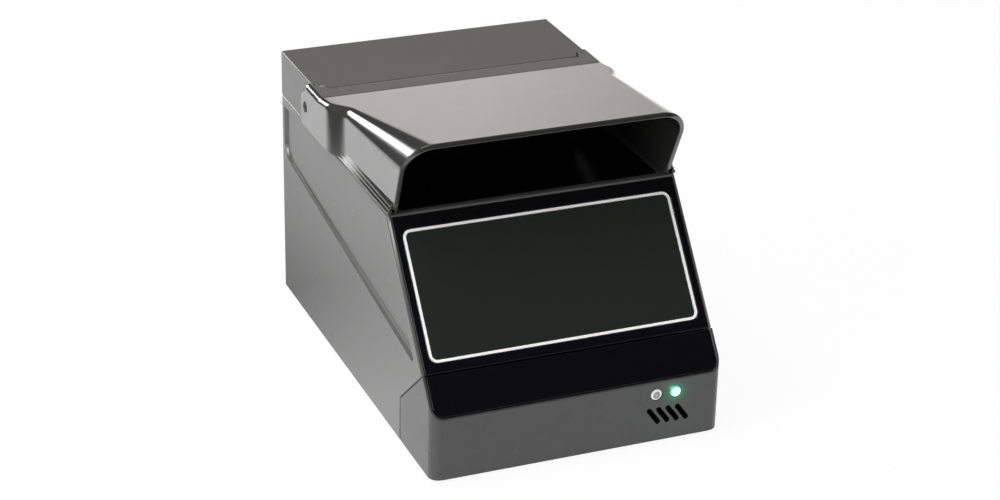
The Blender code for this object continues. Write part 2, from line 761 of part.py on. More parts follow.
def make_front_panel():
    """The front moulding: straight face, sloped shelf for the lower bezel, and two side wings."""
    seam = seam_line(-SEAM / 2)
    profile = [(0.0, 0.0), seam[0], seam[1], seam[2], (0.0, FRONT_HEIGHT)]
    panel = plate("front_panel", [profile], -HALF_WIDTH, HALF_WIDTH, dark_front, reader, PROFILE_PLANE)

    def front_corner(start, end):
        # The profile's own axes: x runs along the reader, y up it and z across it
        outside = near(abs(start.z), HALF_WIDTH) and near(start.z, end.z)
        return near(start.x, 0) and near(end.x, 0) and outside

    soften(panel, FRONT_CORNER_RADIUS, front_corner, ARC_STEPS)
    shelf = REBATE_DEPTH + BEZEL_SHELF
    ceiling = slope_height(FRONT_WALL) - shelf / math.cos(SLOPE_ANGLE)
    reach = SEAM_RUN + OVERRUN
    inside = [
        (FRONT_WALL, -OVERRUN),
        (reach, -OVERRUN),
        (reach, ceiling + (reach - FRONT_WALL) * math.tan(SLOPE_ANGLE)),
        (FRONT_WALL, ceiling),
    ]
    cavity = plate("front_cavity", [inside], -INNER_HALF, INNER_HALF, plane=PROFILE_PLANE)
    bezel_corners = rectangle(
        (-REBATE_HALF, BEZEL_FRONT_MARGIN - GAP), (REBATE_HALF, SEAM_UP_SLOPE + OVERRUN)
    )
    corner = BEZEL_CORNER_RADIUS + GAP
    rebate = plate(
        "lower_rebate",
        [rounded(bezel_corners, [corner, corner, 0, 0])],
        -REBATE_DEPTH,
        OVERRUN,
        parent=slope,
    )
    lamp_holes = rods(
        "lamp_holes",
        LAMP_RADIUS + GAP,
        [((x, -OVERRUN, LAMP_HEIGHT), (x, FRONT_WALL + OVERRUN, LAMP_HEIGHT)) for x in LAMP_OFFSETS],
        sides=ROUND_SIDES,
    )
    cut(panel, cavity, rebate, lamp_holes)
    half_slot = (SLOT_LENGTH / 2, SLOT_WIDTH / 2)
    capsule = rounded(rectangle((-half_slot[0], -half_slot[1]), half_slot), SLOT_WIDTH / 2 - GAP / 10)
    for index in range(SLOT_COUNT):
        centre = Matrix.Translation((SLOT_FIRST_OFFSET + index * SLOT_PITCH, 0, SLOT_HEIGHT))
        place = centre @ FACE_PLANE @ Matrix.Rotation(SLOT_TILT, 4, "Z")
        cut(panel, plate("sound_slot", [capsule], -FRONT_WALL - OVERRUN, OVERRUN, plane=place))
    join(panel, posts("front_posts", FRONT_POSTS))
    boss_reach = LAMP_BOARD_WIDTH / 2 - BOSS_INSET
    bosses = rods(
        "lamp_board_bosses",
        BOSS_RADIUS,
        [
            (
                (LAMP_CENTRE + side * boss_reach, FRONT_WALL / 2, LAMP_HEIGHT),
                (LAMP_CENTRE + side * boss_reach, BOSS_END - GAP, LAMP_HEIGHT),
            )
            for side in (-1, 1)
        ],
    )
    join(panel, bosses)
    cut(panel, post_holes("front_post_holes", FRONT_POSTS))
    return panel


# Bezels, outline and glass on the slope
WINDOW_HALF = HALF_WIDTH - WINDOW_SIDE_MARGIN
WINDOW_UP_SLOPE = SEAM_UP_SLOPE + WINDOW_LOW_MARGIN
WINDOW_TOP = SLOPE_LENGTH - WINDOW_HIGH_MARGIN
BEZEL_HALF = REBATE_HALF - GAP
BEZEL_TOP = SLOPE_LENGTH - BEZEL_TOP_MARGIN


def window_outline(inset):
    """The window's rounded rectangle, drawn in by an inset."""
    low = (-WINDOW_HALF + inset, WINDOW_UP_SLOPE + inset)
    high = (WINDOW_HALF - inset, WINDOW_TOP - inset)
    return rounded(rectangle(low, high), max(WINDOW_RADIUS - inset, GAP))


def make_window():
    """The glossy black frame, the white outline set in it, the pane, and the lower strip."""
    lower = rectangle((-BEZEL_HALF, BEZEL_FRONT_MARGIN), (BEZEL_HALF, SEAM_UP_SLOPE - SEAM / 2))
    corner = BEZEL_CORNER_RADIUS
    lower = rounded(lower, [corner, corner, 0, 0])
    plate("lower_bezel", [lower], -BEZEL_THICKNESS, 0.0, gloss_black, slope)
    frame = rectangle((-BEZEL_HALF, SEAM_UP_SLOPE + SEAM / 2), (BEZEL_HALF, BEZEL_TOP))
    frame = rounded(frame, [0, 0, GAP, GAP])
    plate("window_bezel", [frame, window_outline(0.0)], -BEZEL_THICKNESS, 0.0, gloss_black, slope)
    ring = [window_outline(GAP), window_outline(OUTLINE_WIDTH)]
    plate("window_outline", ring, -BEZEL_THICKNESS, 0.0, white_inlay, slope)
    pane = [window_outline(OUTLINE_WIDTH + GAP)]
    plate("scan_glass", pane, -BEZEL_THICKNESS, -GAP / 2, window_glass, slope)


# Deck under the hood
def make_deck():
    """The glossy flat plate that the upper half of an open passport lies on."""
    outline = rounded(rectangle((-DECK_HALF, DECK_START), (DECK_HALF, DECK_END)), DECK_CORNER_RADIUS)
    top = SHOULDER_HEIGHT
    plate("document_deck", [outline], top - DECK_THICKNESS, top, gloss_black)


# Hood
BEND = COVER_FRONT - STRIP_DEPTH
STEP_REAR = COVER_FRONT - STEP_SETBACK
STEP_FRONT = STEP_REAR - STEP_LENGTH
LIP_TOP = SLOPE_RUN - LIP_LEAN
PLUNGER_Y = COVER_FRONT + PLUNGER_REACH
PLUNGER_Z = COVER_TOP_HEIGHT - PLUNGER_DROP
EAR_TAIL = PLUNGER_Y + EAR_TAIL_RADIUS
STRIP_END = COVER_FRONT - GAP
FOOT_Z = SHOULDER_HEIGHT + GAP


def ease(share):
    """A smooth rise from 0 to 1."""
    share = min(max(share, 0.0), 1.0)
    return share * share * (3 - 2 * share)


def hood_half(along):
    """Half the hood's width: nearly straight from the lip, an S-shaped step out, then the ears."""
    if along <= STEP_FRONT:
        share = ease((along - LIP_TOP) / (STEP_FRONT - LIP_TOP))
        return HALF_WIDTH - LIP_SIDE_INSET + (LIP_SIDE_INSET - NECK_SIDE_INSET) * share
    step_share = ease((along - STEP_FRONT) / STEP_LENGTH)
    return HALF_WIDTH - NECK_SIDE_INSET + (EAR_PROUD + NECK_SIDE_INSET) * step_share


def hood_top(along):
    """The height of the hood's roof, which rises from the bend to the lip."""
    return COVER_TOP_HEIGHT + LIP_RISE * max(0.0, (BEND - along) / (BEND - LIP_TOP))


def hood_radius(along):
    """The radius between roof and side, which grows towards the lip."""
    share = max(0.0, (STEP_FRONT - along) / (STEP_FRONT - LIP_TOP))
    return HOOD_RADIUS + (LIP_RADIUS - HOOD_RADIUS) * share * share


def ear_tail(up):
    """How far back the ear reaches at a height: straight below the plunger, round above it."""
    rise = up - PLUNGER_Z
    if rise <= 0:
        return EAR_TAIL
    if rise >= EAR_TAIL_RADIUS:
        return STRIP_END
    return max(PLUNGER_Y + math.sqrt(EAR_TAIL_RADIUS**2 - rise**2), STRIP_END)


# Shares of the side's height, of the corner's quarter turn and of the roof's flat half width
HOOD_SIDE_SHARES = (0.0, 0.3, 0.57, 0.68, 0.78, 0.86, 0.92)
HOOD_TURN_SHARES = (0.0, 0.15, 0.3, 0.45, 0.6, 0.75, 0.9, 1.0)
LIP_ROWS_SHARES = (0.0, 0.03, 0.12, 0.24, 0.38, 0.54, 0.7, 0.86)
STEP_ROWS_SHARES = (0.0, 0.2, 0.4, 0.6, 0.8, 1.0)
TONGUE_HALF = HALF_WIDTH - TONGUE_SIDE_INSET


def hood_row(along, rear):
    """One row of points over the hood's right half, from the foot of its side to the middle of its roof."""
    half = hood_half(along)
    top = hood_top(along)
    radius = hood_radius(along)
    lean = LIP_LEAN * max(0.0, (STEP_FRONT - along) / (STEP_FRONT - LIP_TOP))
    draft = HOOD_DRAFT * max(0.0, (STEP_FRONT - along) / (STEP_FRONT - LIP_TOP))
    shoulder = top - radius

    def set_back(up):
        return along + lean * (top - up) / (top - FOOT_Z)

    points = []
    for share in HOOD_SIDE_SHARES:
        up = FOOT_Z + (shoulder - FOOT_Z) * share
        back = ear_tail(up) if rear else set_back(up)
        points.append((half - draft * (1 - share), back, up))
    for share in HOOD_TURN_SHARES:
        turn = math.pi / 2 * share
        up = shoulder + radius * math.sin(turn)
        back = ear_tail(up) if rear else set_back(up)
        points.append((half - radius + radius * math.cos(turn), back, up))
    flat = half - radius
    jog_outer = TONGUE_HALF + TONGUE_CHAMFER + GAP
    jog_inner = TONGUE_HALF + GAP
    widest = hood_half(EAR_TAIL) - HOOD_RADIUS
    for across in (jog_outer, jog_inner, TONGUE_HALF / 2, 0.0):
        behind = STRIP_END if across >= jog_outer else TONGUE_FRONT - GAP
        points.append((flat * across / widest, behind if rear else along, top))
    return points


def make_hood():
    """The light shield: a roof and two sides as one bent sheet, with foot flanges and plunger holes."""
    rows = [LIP_TOP + (STEP_FRONT - LIP_TOP) * share for share in LIP_ROWS_SHARES]
    rows += [STEP_FRONT + STEP_LENGTH * share for share in STEP_ROWS_SHARES]
    rows += [BEND, (BEND + TONGUE_FRONT) / 2]
    grid = [hood_row(along, False) for along in rows]
    grid.append(hood_row(EAR_TAIL, True))
    build = bmesh.new()
    verts = [[build.verts.new(point) for point in row] for row in grid]
    for front, back in zip(verts, verts[1:]):
        for index in range(len(front) - 1):
            build.faces.new((front[index], back[index], back[index + 1], front[index + 1]))
    mesh = bpy.data.meshes.new("hood")
    build.to_mesh(mesh)
    build.free()
    hood = place_piece("hood", mesh, anthracite, hood_slide)
    mirror = hood.modifiers.new("other_half", "MIRROR")
    mirror.use_axis[0] = True
    mirror.use_clip = True
    mirror.merge_threshold = GAP / 100
    wall = hood.modifiers.new("wall", "SOLIDIFY")
    wall.thickness = HOOD_WALL
    wall.offset = -1
    wall.use_even_offset = True
    holes = bmesh.new()
    inner = HALF_WIDTH - NECK_SIDE_INSET - HOOD_WALL
    outer = HALF_WIDTH - FLANGE_INSET
    for side in (-1, 1):
        for step in (1, 2):
            edge = outer - FLANGE_STEP * (step - 1)
            low = (min(side * inner, side * edge), SLOPE_RUN - FLANGE_TAB, FOOT_Z)
            high = (max(side * inner, side * edge), STEP_REAR, FOOT_Z + FLANGE_HEIGHT * step)
            join(hood, box("hood_flange", low, high, parent=hood_slide))
        at = (side * HALF_WIDTH, PLUNGER_Y, PLUNGER_Z)
        beyond = (side * (HALF_WIDTH + EAR_PROUD + OVERRUN), PLUNGER_Y, PLUNGER_Z)
        add_rod(holes, PLUNGER_RADIUS + GAP, at, beyond, ROUND_SIDES)
    cut(hood, from_bmesh("plunger_holes", holes, parent=hood_slide))


def make_plungers():
    """The round snap plungers in the ears, each with a driver slot in its outer face."""
    outer = hood_half(PLUNGER_Y)
    inner = HALF_WIDTH + GAP
    reach = PLUNGER_RADIUS + GAP
    for name, side in (("left", -1), ("right", 1)):
        span = ((side * inner, PLUNGER_Y, PLUNGER_Z), (side * (outer - GAP), PLUNGER_Y, PLUNGER_Z))
        plunger = rods(name + "_plunger", PLUNGER_RADIUS, [span], steel, hood_slide, ROUND_SIDES)
        ends = (side * (outer - PLUNGER_SLOT), side * (outer + OVERRUN))
        slot = box(
            "plunger_slot",
            (min(ends), PLUNGER_Y - PLUNGER_SLOT / 2, PLUNGER_Z - reach),
            (max(ends), PLUNGER_Y + PLUNGER_SLOT / 2, PLUNGER_Z + reach),
            parent=hood_slide,
        )
        cut(plunger, slot)


# Rear cover
def cover_outline(inset):
    """The rear cover seen from above, with its tongue towards the hood, drawn in by an inset."""
    tongue = TONGUE_HALF - inset
    shoulder = TONGUE_HALF + TONGUE_CHAMFER - inset
    side = HALF_WIDTH - inset
    return [
        (-side, DEPTH - inset),
        (-side, COVER_FRONT + inset),
        (-shoulder, COVER_FRONT + inset),
        (-tongue, TONGUE_FRONT + inset),
        (tongue, TONGUE_FRONT + inset),
        (shoulder, COVER_FRONT + inset),
        (side, COVER_FRONT + inset),
        (side, DEPTH - inset),
    ]


def make_rear_cover():
    """The box-shaped cover over the camera tower, open below."""
    cover = plate("rear_cover", [cover_outline(0.0)], COVER_BOTTOM, COVER_TOP_HEIGHT, anthracite)
    top = (COVER_TOP_HEIGHT - COVER_BOTTOM) / 2

    def outer_edge(start, end):
        # The outline's own axes: z is measured from the middle of its height
        above = near(start.z, top) and near(end.z, top)
        corner = near(start.x, end.x) and near(abs(start.x), HALF_WIDTH) and near(start.y, end.y)
        return above or corner

    soften(cover, COVER_EDGE_RADIUS, outer_edge)
    cavity = plate(
        "cover_cavity", [cover_outline(COVER_WALL)], COVER_BOTTOM - OVERRUN, COVER_TOP_HEIGHT - COVER_WALL
    )
    cut(cover, cavity)


# Underside
BASE_HALF = INNER_HALF - SEAM
BASE_FRONT = FRONT_WALL + SEAM
BASE_REAR = REAR_INSIDE - SEAM
ALL_POSTS = FRONT_POSTS + HOUSING_POSTS
SCREW_SINK = SCREW_HEAD_HEIGHT + 2 * GAP


def base_places():
    """Where the base is screwed on."""
    return [(side * POST_X, along) for side in (-1, 1) for along in ALL_POSTS]


def foot_places():
    """Where the rubber feet sit."""
    across = BASE_HALF - FOOT_INSET
    ends = (BASE_FRONT + FOOT_INSET, BASE_REAR - FOOT_INSET)
    return [(side * across, along) for side in (-1, 1) for along in ends]


def make_base():
    """The bottom plate with its foot cups, sunk screw holes and vents, and what is fixed in it."""
    outline = rounded(rectangle((-BASE_HALF, BASE_FRONT), (BASE_HALF, BASE_REAR)), BASE_CORNER_RADIUS)
    base = plate("base_plate", [outline], 0.0, BASE_THICKNESS, matt_black)
    cups = [((x, y, -OVERRUN), (x, y, FOOT_CUP)) for x, y in foot_places()]
    heads = [((x, y, -OVERRUN), (x, y, SCREW_SINK)) for x, y in base_places()]
    shanks = [((x, y, -OVERRUN), (x, y, BASE_THICKNESS + OVERRUN)) for x, y in base_places()]
    cut(base, rods("foot_cups", FOOT_RADIUS + GAP, cups, sides=ROUND_SIDES))
    cut(base, rods("head_sinks", SCREW_HEAD_RADIUS + GAP, heads, sides=ROUND_SIDES))
    cut(base, rods("shank_holes", SCREW_SHANK_RADIUS + GAP, shanks))
    vents = bmesh.new()
    for index in range(VENT_COUNT):
        across = (index - (VENT_COUNT - 1) / 2) * VENT_PITCH
        along = DEPTH - VENT_REAR_SETBACK
        add_box(
            vents,
            (across - VENT_WIDTH / 2, along - VENT_LENGTH / 2, -OVERRUN),
            (across + VENT_WIDTH / 2, along + VENT_LENGTH / 2, BASE_THICKNESS + OVERRUN),
        )
    cut(base, from_bmesh("vents", vents))
    low = BASE_THICKNESS / 2
    bosses = [((x, y, low), (x, y, BOARD_BOTTOM - GAP)) for x, y in board_places()]
    threads = [((x, y, low), (x, y, BOARD_BOTTOM + OVERRUN)) for x, y in board_places()]
    join(base, rods("board_bosses", BOARD_BOSS_RADIUS, bosses))
    cut(base, rods("boss_holes", SCREW_SHANK_RADIUS + GAP, threads))
    foot = bmesh.new()
    add_rod(foot, FOOT_RADIUS, (0, 0, -FOOT_DROP), (0, 0, FOOT_CUP - GAP), ROUND_SIDES)
    repeat("rubber_foot", foot, [(x, y, 0) for x, y in foot_places()], rubber)
    screw = stepped_rod(SCREW_HEAD_RADIUS, SCREW_HEAD_HEIGHT, SCREW_SHANK_RADIUS, SCREW_SHANK_LENGTH)
    sunk = SCREW_SINK - GAP - SCREW_HEAD_HEIGHT
    repeat("base_screw", screw, [(x, y, sunk) for x, y in base_places()], steel)


def stepped_rod(head_radius, head_height, shank_radius, shank_length):
    """A screw's plain form in a bmesh: its head from zero up, and its shank above that."""
    build = bmesh.new()
    tip = head_height + shank_length
    head = ((head_radius, 0.0), (head_radius, head_height))
    levels = (*head, (shank_radius, head_height), (shank_radius, tip))
    rings = []
    for radius, height in levels:
        rings.append([build.verts.new((x, y, height)) for x, y in circle((0, 0), radius, SMALL_SIDES)])
    for lower, upper in zip(rings, rings[1:]):
        for step in range(SMALL_SIDES):
            after = (step + 1) % SMALL_SIDES
            build.faces.new((lower[step], lower[after], upper[after], upper[step]))
    build.faces.new(rings[0])
    build.faces.new(rings[-1])
    return build


# Light path
SHAFT_TOP = -REBATE_DEPTH - GAP
SHAFT_HALF = INNER_HALF - SHAFT_SIDE_CLEARANCE
SHAFT_LOW = WINDOW_UP_SLOPE - SHAFT_LOW_MARGIN
SHAFT_HIGH = WINDOW_TOP + SHAFT_HIGH_MARGIN
WINDOW_MIDDLE = (WINDOW_UP_SLOPE + WINDOW_TOP) / 2
window_centre = Vector((0, *on_slope(WINDOW_MIDDLE)))
inward = Vector((0, math.sin(SLOPE_ANGLE), -math.cos(SLOPE_ANGLE)))
MIRROR_DISTANCE = (window_centre.z - MIRROR_HEIGHT) / math.cos(SLOPE_ANGLE)
SHAFT_LENGTH = MIRROR_DISTANCE - SHAFT_CLEARANCE
mirror_centre = window_centre + inward * MIRROR_DISTANCE
camera_centre = Vector((0, REAR_INSIDE - CAMERA_REAR_SETBACK, SHOULDER_HEIGHT - CAMERA_DROP))
to_camera = (camera_centre - mirror_centre).normalized()
mirror_normal = (to_camera - inward).normalized()
MIRROR_TILT = math.atan2(-mirror_normal.y, mirror_normal.z)
CAMERA_TILT = math.atan2(-to_camera.y, to_camera.z)

mirror_frame = empty(
    "mirror_frame", reader, Matrix.Translation(mirror_centre) @ Matrix.Rotation(MIRROR_TILT, 4, "X")
)
camera_frame = empty(
    "camera_frame", reader, Matrix.Translation(camera_centre) @ Matrix.Rotation(CAMERA_TILT, 4, "X")
)
hood_slide = empty("hood_slide", reader)


def shaft_half(depth):
    """Half the shaft's outer width at a depth below the slope."""
    return SHAFT_HALF - SHAFT_SIDE_TAPER * depth / SHAFT_LENGTH


def shaft_end(edge, side, depth):
    """An edge of the shaft along the slope, which at full depth comes to the mirror's end on that side."""
    mouth = WINDOW_MIDDLE + SHAFT_MOUTH_SHIFT + side * MIRROR_LENGTH / 2
    return edge + (mouth - edge) * depth / SHAFT_LENGTH


MIRROR_HALF = shaft_half(SHAFT_LENGTH) - MIRROR_SIDE_GAP
CARRIER_HALF = MIRROR_HALF + CARRIER_MARGIN


def make_light_box():
    """The black shaft from the glass down to the mirror: four tapering walls, open at both ends."""
    build = bmesh.new()
    rings = []
    for depth in (0.0, SHAFT_LENGTH):
        half = shaft_half(depth)
        low = shaft_end(SHAFT_LOW, -1, depth)
        corners = rectangle((-half, low), (half, shaft_end(SHAFT_HIGH, 1, depth)))
        rings.append([build.verts.new((across, up, SHAFT_TOP - depth)) for across, up in corners])
    for index in range(4):
        after = (index + 1) % 4
        build.faces.new((rings[1][index], rings[1][after], rings[0][after], rings[0][index]))
    mesh = bpy.data.meshes.new("light_box")
    build.to_mesh(mesh)
    build.free()
    shaft = place_piece("light_box", mesh, matt_black, slope)
    wall = shaft.modifiers.new("wall", "SOLIDIFY")
    wall.thickness = SHAFT_WALL
    wall.offset = -1
    wall.use_even_offset = True


def make_mirror():
    """The mirror that turns the window's light up to the camera, and the open frame that carries it."""
    half = (MIRROR_HALF, MIRROR_LENGTH / 2)
    plate(
        "fold_mirror",
        [rectangle((-half[0], -half[1]), half)],
        -MIRROR_THICKNESS,
        0.0,
        mirror_face,
        mirror_frame,
    )
    reach = half[1] + CARRIER_MARGIN
    drop = (MIRROR_THICKNESS + GAP) / math.cos(MIRROR_TILT)
    low = BASE_TOP + GAP

    def seat(along):
        return mirror_centre.z - drop + (along - mirror_centre.y) * math.tan(MIRROR_TILT)

    ends = (mirror_centre.y - reach, mirror_centre.y + reach)
    profile = [(ends[0], low), (ends[1], low), (ends[1], seat(ends[1])), (ends[0], seat(ends[0]))]
    sides = (-CARRIER_HALF, CARRIER_HALF)
    carrier = plate("mirror_carrier", [profile], *sides, matt_black, reader, PROFILE_PLANE)
    opening = box(
        "carrier_opening",
        (-CARRIER_HALF + CARRIER_RAIL, ends[0] + CARRIER_RAIL, -OVERRUN),
        (CARRIER_HALF - CARRIER_RAIL, ends[1] - CARRIER_RAIL, MIRROR_HEIGHT + OVERRUN),
    )
    cut(carrier, opening)


# Camera
def make_camera():
    """Sensor board, square lens holder, turned barrel, front lens, and the bent bracket behind them."""
    half = CAMERA_BOARD / 2
    box("camera_board", (-half, -half, 0.0), (half, half, BOARD_THICKNESS), board_green, camera_frame)
    grip = HOLDER_WIDTH / 2
    front = -GAP - HOLDER_LENGTH
    holder = box("lens_holder", (-grip, -grip, front), (grip, grip, -GAP), matt_black, camera_frame)
    seat_end = front + BARREL_SEAT
    bore = rods(
        "holder_bore",
        BARREL_RADIUS + GAP,
        [((0, 0, front - OVERRUN), (0, 0, seat_end))],
        parent=camera_frame,
        sides=ROUND_SIDES,
    )
    sight = rods(
        "holder_sight",
        BARREL_BORE,
        [((0, 0, front - OVERRUN), (0, 0, OVERRUN))],
        parent=camera_frame,
        sides=ROUND_SIDES,
    )
    cut(holder, bore, sight)
    barrel_back = seat_end - GAP
    barrel_front = barrel_back - BARREL_LENGTH
    ledge = barrel_front + LENS_RECESS + LENS_THICKNESS + GAP
    profile = [
        (BARREL_BORE - 2 * GAP, barrel_back),
        (BARREL_RADIUS, barrel_back),
        (BARREL_RADIUS, barrel_front),
        (BARREL_BORE + GAP, barrel_front),
        (BARREL_BORE + GAP, ledge),
        (BARREL_BORE - 2 * GAP, ledge),
        (BARREL_BORE - 2 * GAP, barrel_back),
    ]
    turned("lens_barrel", profile, Matrix(), matt_black, camera_frame)
    middle = barrel_front + LENS_RECESS + LENS_THICKNESS / 2
    edge = LENS_THICKNESS / 2 - LENS_BULGE
    dome = [
        (BARREL_BORE * math.sin(math.pi / 2 * share), edge + LENS_BULGE * math.cos(math.pi / 2 * share))
        for share in LENS_RING_SHARES
    ]
    lens = [(radius, middle + height) for radius, height in dome]
    lens += [(radius, middle - height) for radius, height in reversed(dome)]
    turned("camera_lens", lens, Matrix(), window_glass, camera_frame)
    sheet = BOARD_THICKNESS + GAP + BRACKET_SHEET / 2
    back = Vector((to_camera.y, to_camera.z))
    down = Vector((to_camera.z, -to_camera.y))
    heart = Vector((camera_centre.y, camera_centre.z)) + back * sheet
    flange = REAR_INSIDE - GAP - BRACKET_SHEET / 2
    bend = heart + down * ((flange - heart.x) / down.x)
    path = [heart - down * half, bend, Vector((flange, bend.y - BRACKET_DROP))]
    strip("camera_bracket", path, BRACKET_WIDTH, 0.0, BRACKET_SHEET, aluminium)


LENS_RING_SHARES = (0.0, 0.35, 0.7, 1.0)


# Lighting inside the shaft
def make_light_bars():
    """Light bars on both side walls with their diffusers, and the ultraviolet bar above."""
    start = WINDOW_UP_SLOPE + BAR_END_MARGIN
    end = WINDOW_TOP - BAR_END_MARGIN
    high = SHAFT_TOP - BAR_DEPTH
    low = high - BAR_HEIGHT
    middle = (high + low) / 2
    wall = shaft_half(SHAFT_TOP - low) - SHAFT_WALL / math.cos(math.atan(SHAFT_SIDE_TAPER / SHAFT_LENGTH))
    back = wall - BAR_STANDOFF
    face = back - BOARD_THICKNESS
    lamp = BAR_LAMP_SIZE / 2
    for name, side in (("left", -1), ("right", 1)):
        bar = box(
            name + "_light_bar",
            (min(side * face, side * back), start, low),
            (max(side * face, side * back), end, high),
            board_green,
            slope,
        )
        lamps = bmesh.new()
        front = face - BAR_LAMP_HEIGHT
        reach = (min(side * front, side * (face + GAP)), max(side * front, side * (face + GAP)))
        for index in range(BAR_LAMPS):
            up = start + (end - start) * (index + 0.5) / BAR_LAMPS
            add_box(lamps, (reach[0], up - lamp, middle - lamp), (reach[1], up + lamp, middle + lamp))
        join(bar, from_bmesh("bar_lamps", lamps, parent=slope))
        inner = front - GAP - DIFFUSER_THICKNESS
        sheet = (min(side * inner, side * (front - GAP)), max(side * inner, side * (front - GAP)))
        box(
            name + "_diffuser", (sheet[0], start, low), (sheet[1], end, high), diffuser_white, slope
        )
    top = shaft_end(SHAFT_HIGH, 1, SHAFT_TOP - low) - SHAFT_WALL - BAR_STANDOFF
    half = UV_BAR_LENGTH / 2
    under = top - BOARD_THICKNESS
    bar = box("uv_light_bar", (-half, under, low), (half, top, high), board_green, slope)
    lamps = bmesh.new()
    for index in range(UV_LAMPS):
        across = -half + UV_BAR_LENGTH * (index + 0.5) / UV_LAMPS
        add_box(
            lamps,
            (across - lamp, under - BAR_LAMP_HEIGHT, middle - lamp),
            (across + lamp, under + GAP, middle + lamp),
        )
    join(bar, from_bmesh("uv_lamps", lamps, parent=slope))


# Contactless chip reader
def make_chip_reader():
    """The antenna loop under the deck and the small reader board that hangs below it."""
    top = DECK_SEAT
    under = top - BOARD_THICKNESS
    half = DECK_HALF - DECK_LEDGE - ANTENNA_MARGIN
    front = DECK_START + DECK_LEDGE + ANTENNA_MARGIN
    rear = DECK_END - DECK_LEDGE - ANTENNA_MARGIN
    outer = rounded(rectangle((-half, front), (half, rear)), DECK_CORNER_RADIUS)
    band = ANTENNA_BAND
    inner = rounded(
        rectangle((-half + band, front + band), (half - band, rear - band)), DECK_CORNER_RADIUS
    )
    plate("antenna_board", [outer, inner], under, top, board_green)
    board_top = under - GAP - HEADER_HEIGHT
    end = rear - HEADER_INSET
    board = box(
        "chip_reader_board",
        (-CHIP_BOARD_WIDTH / 2, end - CHIP_BOARD_LENGTH, board_top - BOARD_THICKNESS),
        (CHIP_BOARD_WIDTH / 2, end, board_top),
        board_green,
    )
    header = box(
        "header",
        (-HEADER_WIDTH / 2, end - HEADER_INSET - HEADER_DEPTH, board_top - BOARD_THICKNESS / 2),
        (HEADER_WIDTH / 2, end - HEADER_INSET, under - GAP),
    )
    join(board, header)


# Main board
BOARD_FRONT = mirror_centre.y + MIRROR_LENGTH / 2 + CARRIER_MARGIN + BOARD_FRONT_GAP
PROCESSOR_X = BOARD_HALF - PROCESSOR_SIDE_INSET
PROCESSOR_Y = BOARD_FRONT + (BOARD_REAR - BOARD_FRONT) * PROCESSOR_SETBACK_SHARE
CAPACITOR_X = PROCESSOR_X - SINK_SIZE / 2 - CAPACITOR_CLEARANCE - CAPACITOR_RADIUS
FRONT_CABLE_X = CARRIER_HALF + FRONT_CABLE_CLEARANCE + FRONT_CABLE_WIDTH / 2
CHIP_ROOT = BOARD_TOP - BOARD_THICKNESS / 2
SOCKET_BOTTOM = BOARD_TOP + GAP
CAMERA_PLUG_Y = camera_centre.y + CAMERA_BOARD / 4


def board_places():
    """Where the main board is screwed down."""
    across = BOARD_HALF - BOARD_HOLE_INSET
    ends = (BOARD_FRONT + BOARD_HOLE_INSET, BOARD_REAR - BOARD_HOLE_INSET)
    return [(side * across, along) for side in (-1, 1) for along in ends]


def make_main_board():
    """The main board with its standoffs, screws, chips, connectors and finned heat sink."""
    bore = SCREW_SHANK_RADIUS + GAP
    outline = rectangle((-BOARD_HALF, BOARD_FRONT), (BOARD_HALF, BOARD_REAR))
    holes = [circle(place, bore, SMALL_SIDES) for place in board_places()]
    board = plate("main_board", [outline] + holes, BOARD_BOTTOM, BOARD_TOP, board_green)
    screw = stepped_rod(BOARD_SCREW_HEAD, BOARD_SCREW_HEIGHT, SCREW_SHANK_RADIUS, BOARD_SCREW_LENGTH)
    bmesh.ops.rotate(screw, verts=screw.verts, matrix=Matrix.Rotation(math.pi, 3, "X"))
    top = BOARD_TOP + GAP + BOARD_SCREW_HEIGHT
    repeat("board_screw", screw, [(x, y, top) for x, y in board_places()], steel)
    chips = bmesh.new()
    blocks = [
        (PROCESSOR_X, PROCESSOR_Y, PROCESSOR_SIZE, PROCESSOR_SIZE, PROCESSOR_HEIGHT),
        (0.0, CAMERA_PLUG_Y, CONNECTOR_WIDTH, CONNECTOR_DEPTH, CONNECTOR_HEIGHT),
        (
            FRONT_CABLE_X,
            BOARD_FRONT + SMALL_CONNECTOR_DEPTH / 2 + SEAM,
            SMALL_CONNECTOR_WIDTH,
            SMALL_CONNECTOR_DEPTH,
            SMALL_CONNECTOR_HEIGHT,
        ),
    ]
    for index in range(MEMORY_COUNT):
        along = PROCESSOR_Y + (index - (MEMORY_COUNT - 1) / 2) * MEMORY_PITCH
        blocks.append((MEMORY_SIDE_INSET - BOARD_HALF, along, MEMORY_SIZE, MEMORY_SIZE, MEMORY_HEIGHT))
    for across, along, width, depth, height in blocks:
        add_box(
            chips,
            (across - width / 2, along - depth / 2, CHIP_ROOT),
            (across + width / 2, along + depth / 2, BOARD_TOP + height),
        )
    for index in range(CAPACITOR_COUNT):
        along = PROCESSOR_Y + (index - (CAPACITOR_COUNT - 1) / 2) * CAPACITOR_PITCH
        at = Vector((CAPACITOR_X, along, CHIP_ROOT))
        add_rod(chips, CAPACITOR_RADIUS, at, at + Vector((0, 0, CAPACITOR_HEIGHT)))
    join(board, from_bmesh("board_chips", chips))
    make_heat_sink()


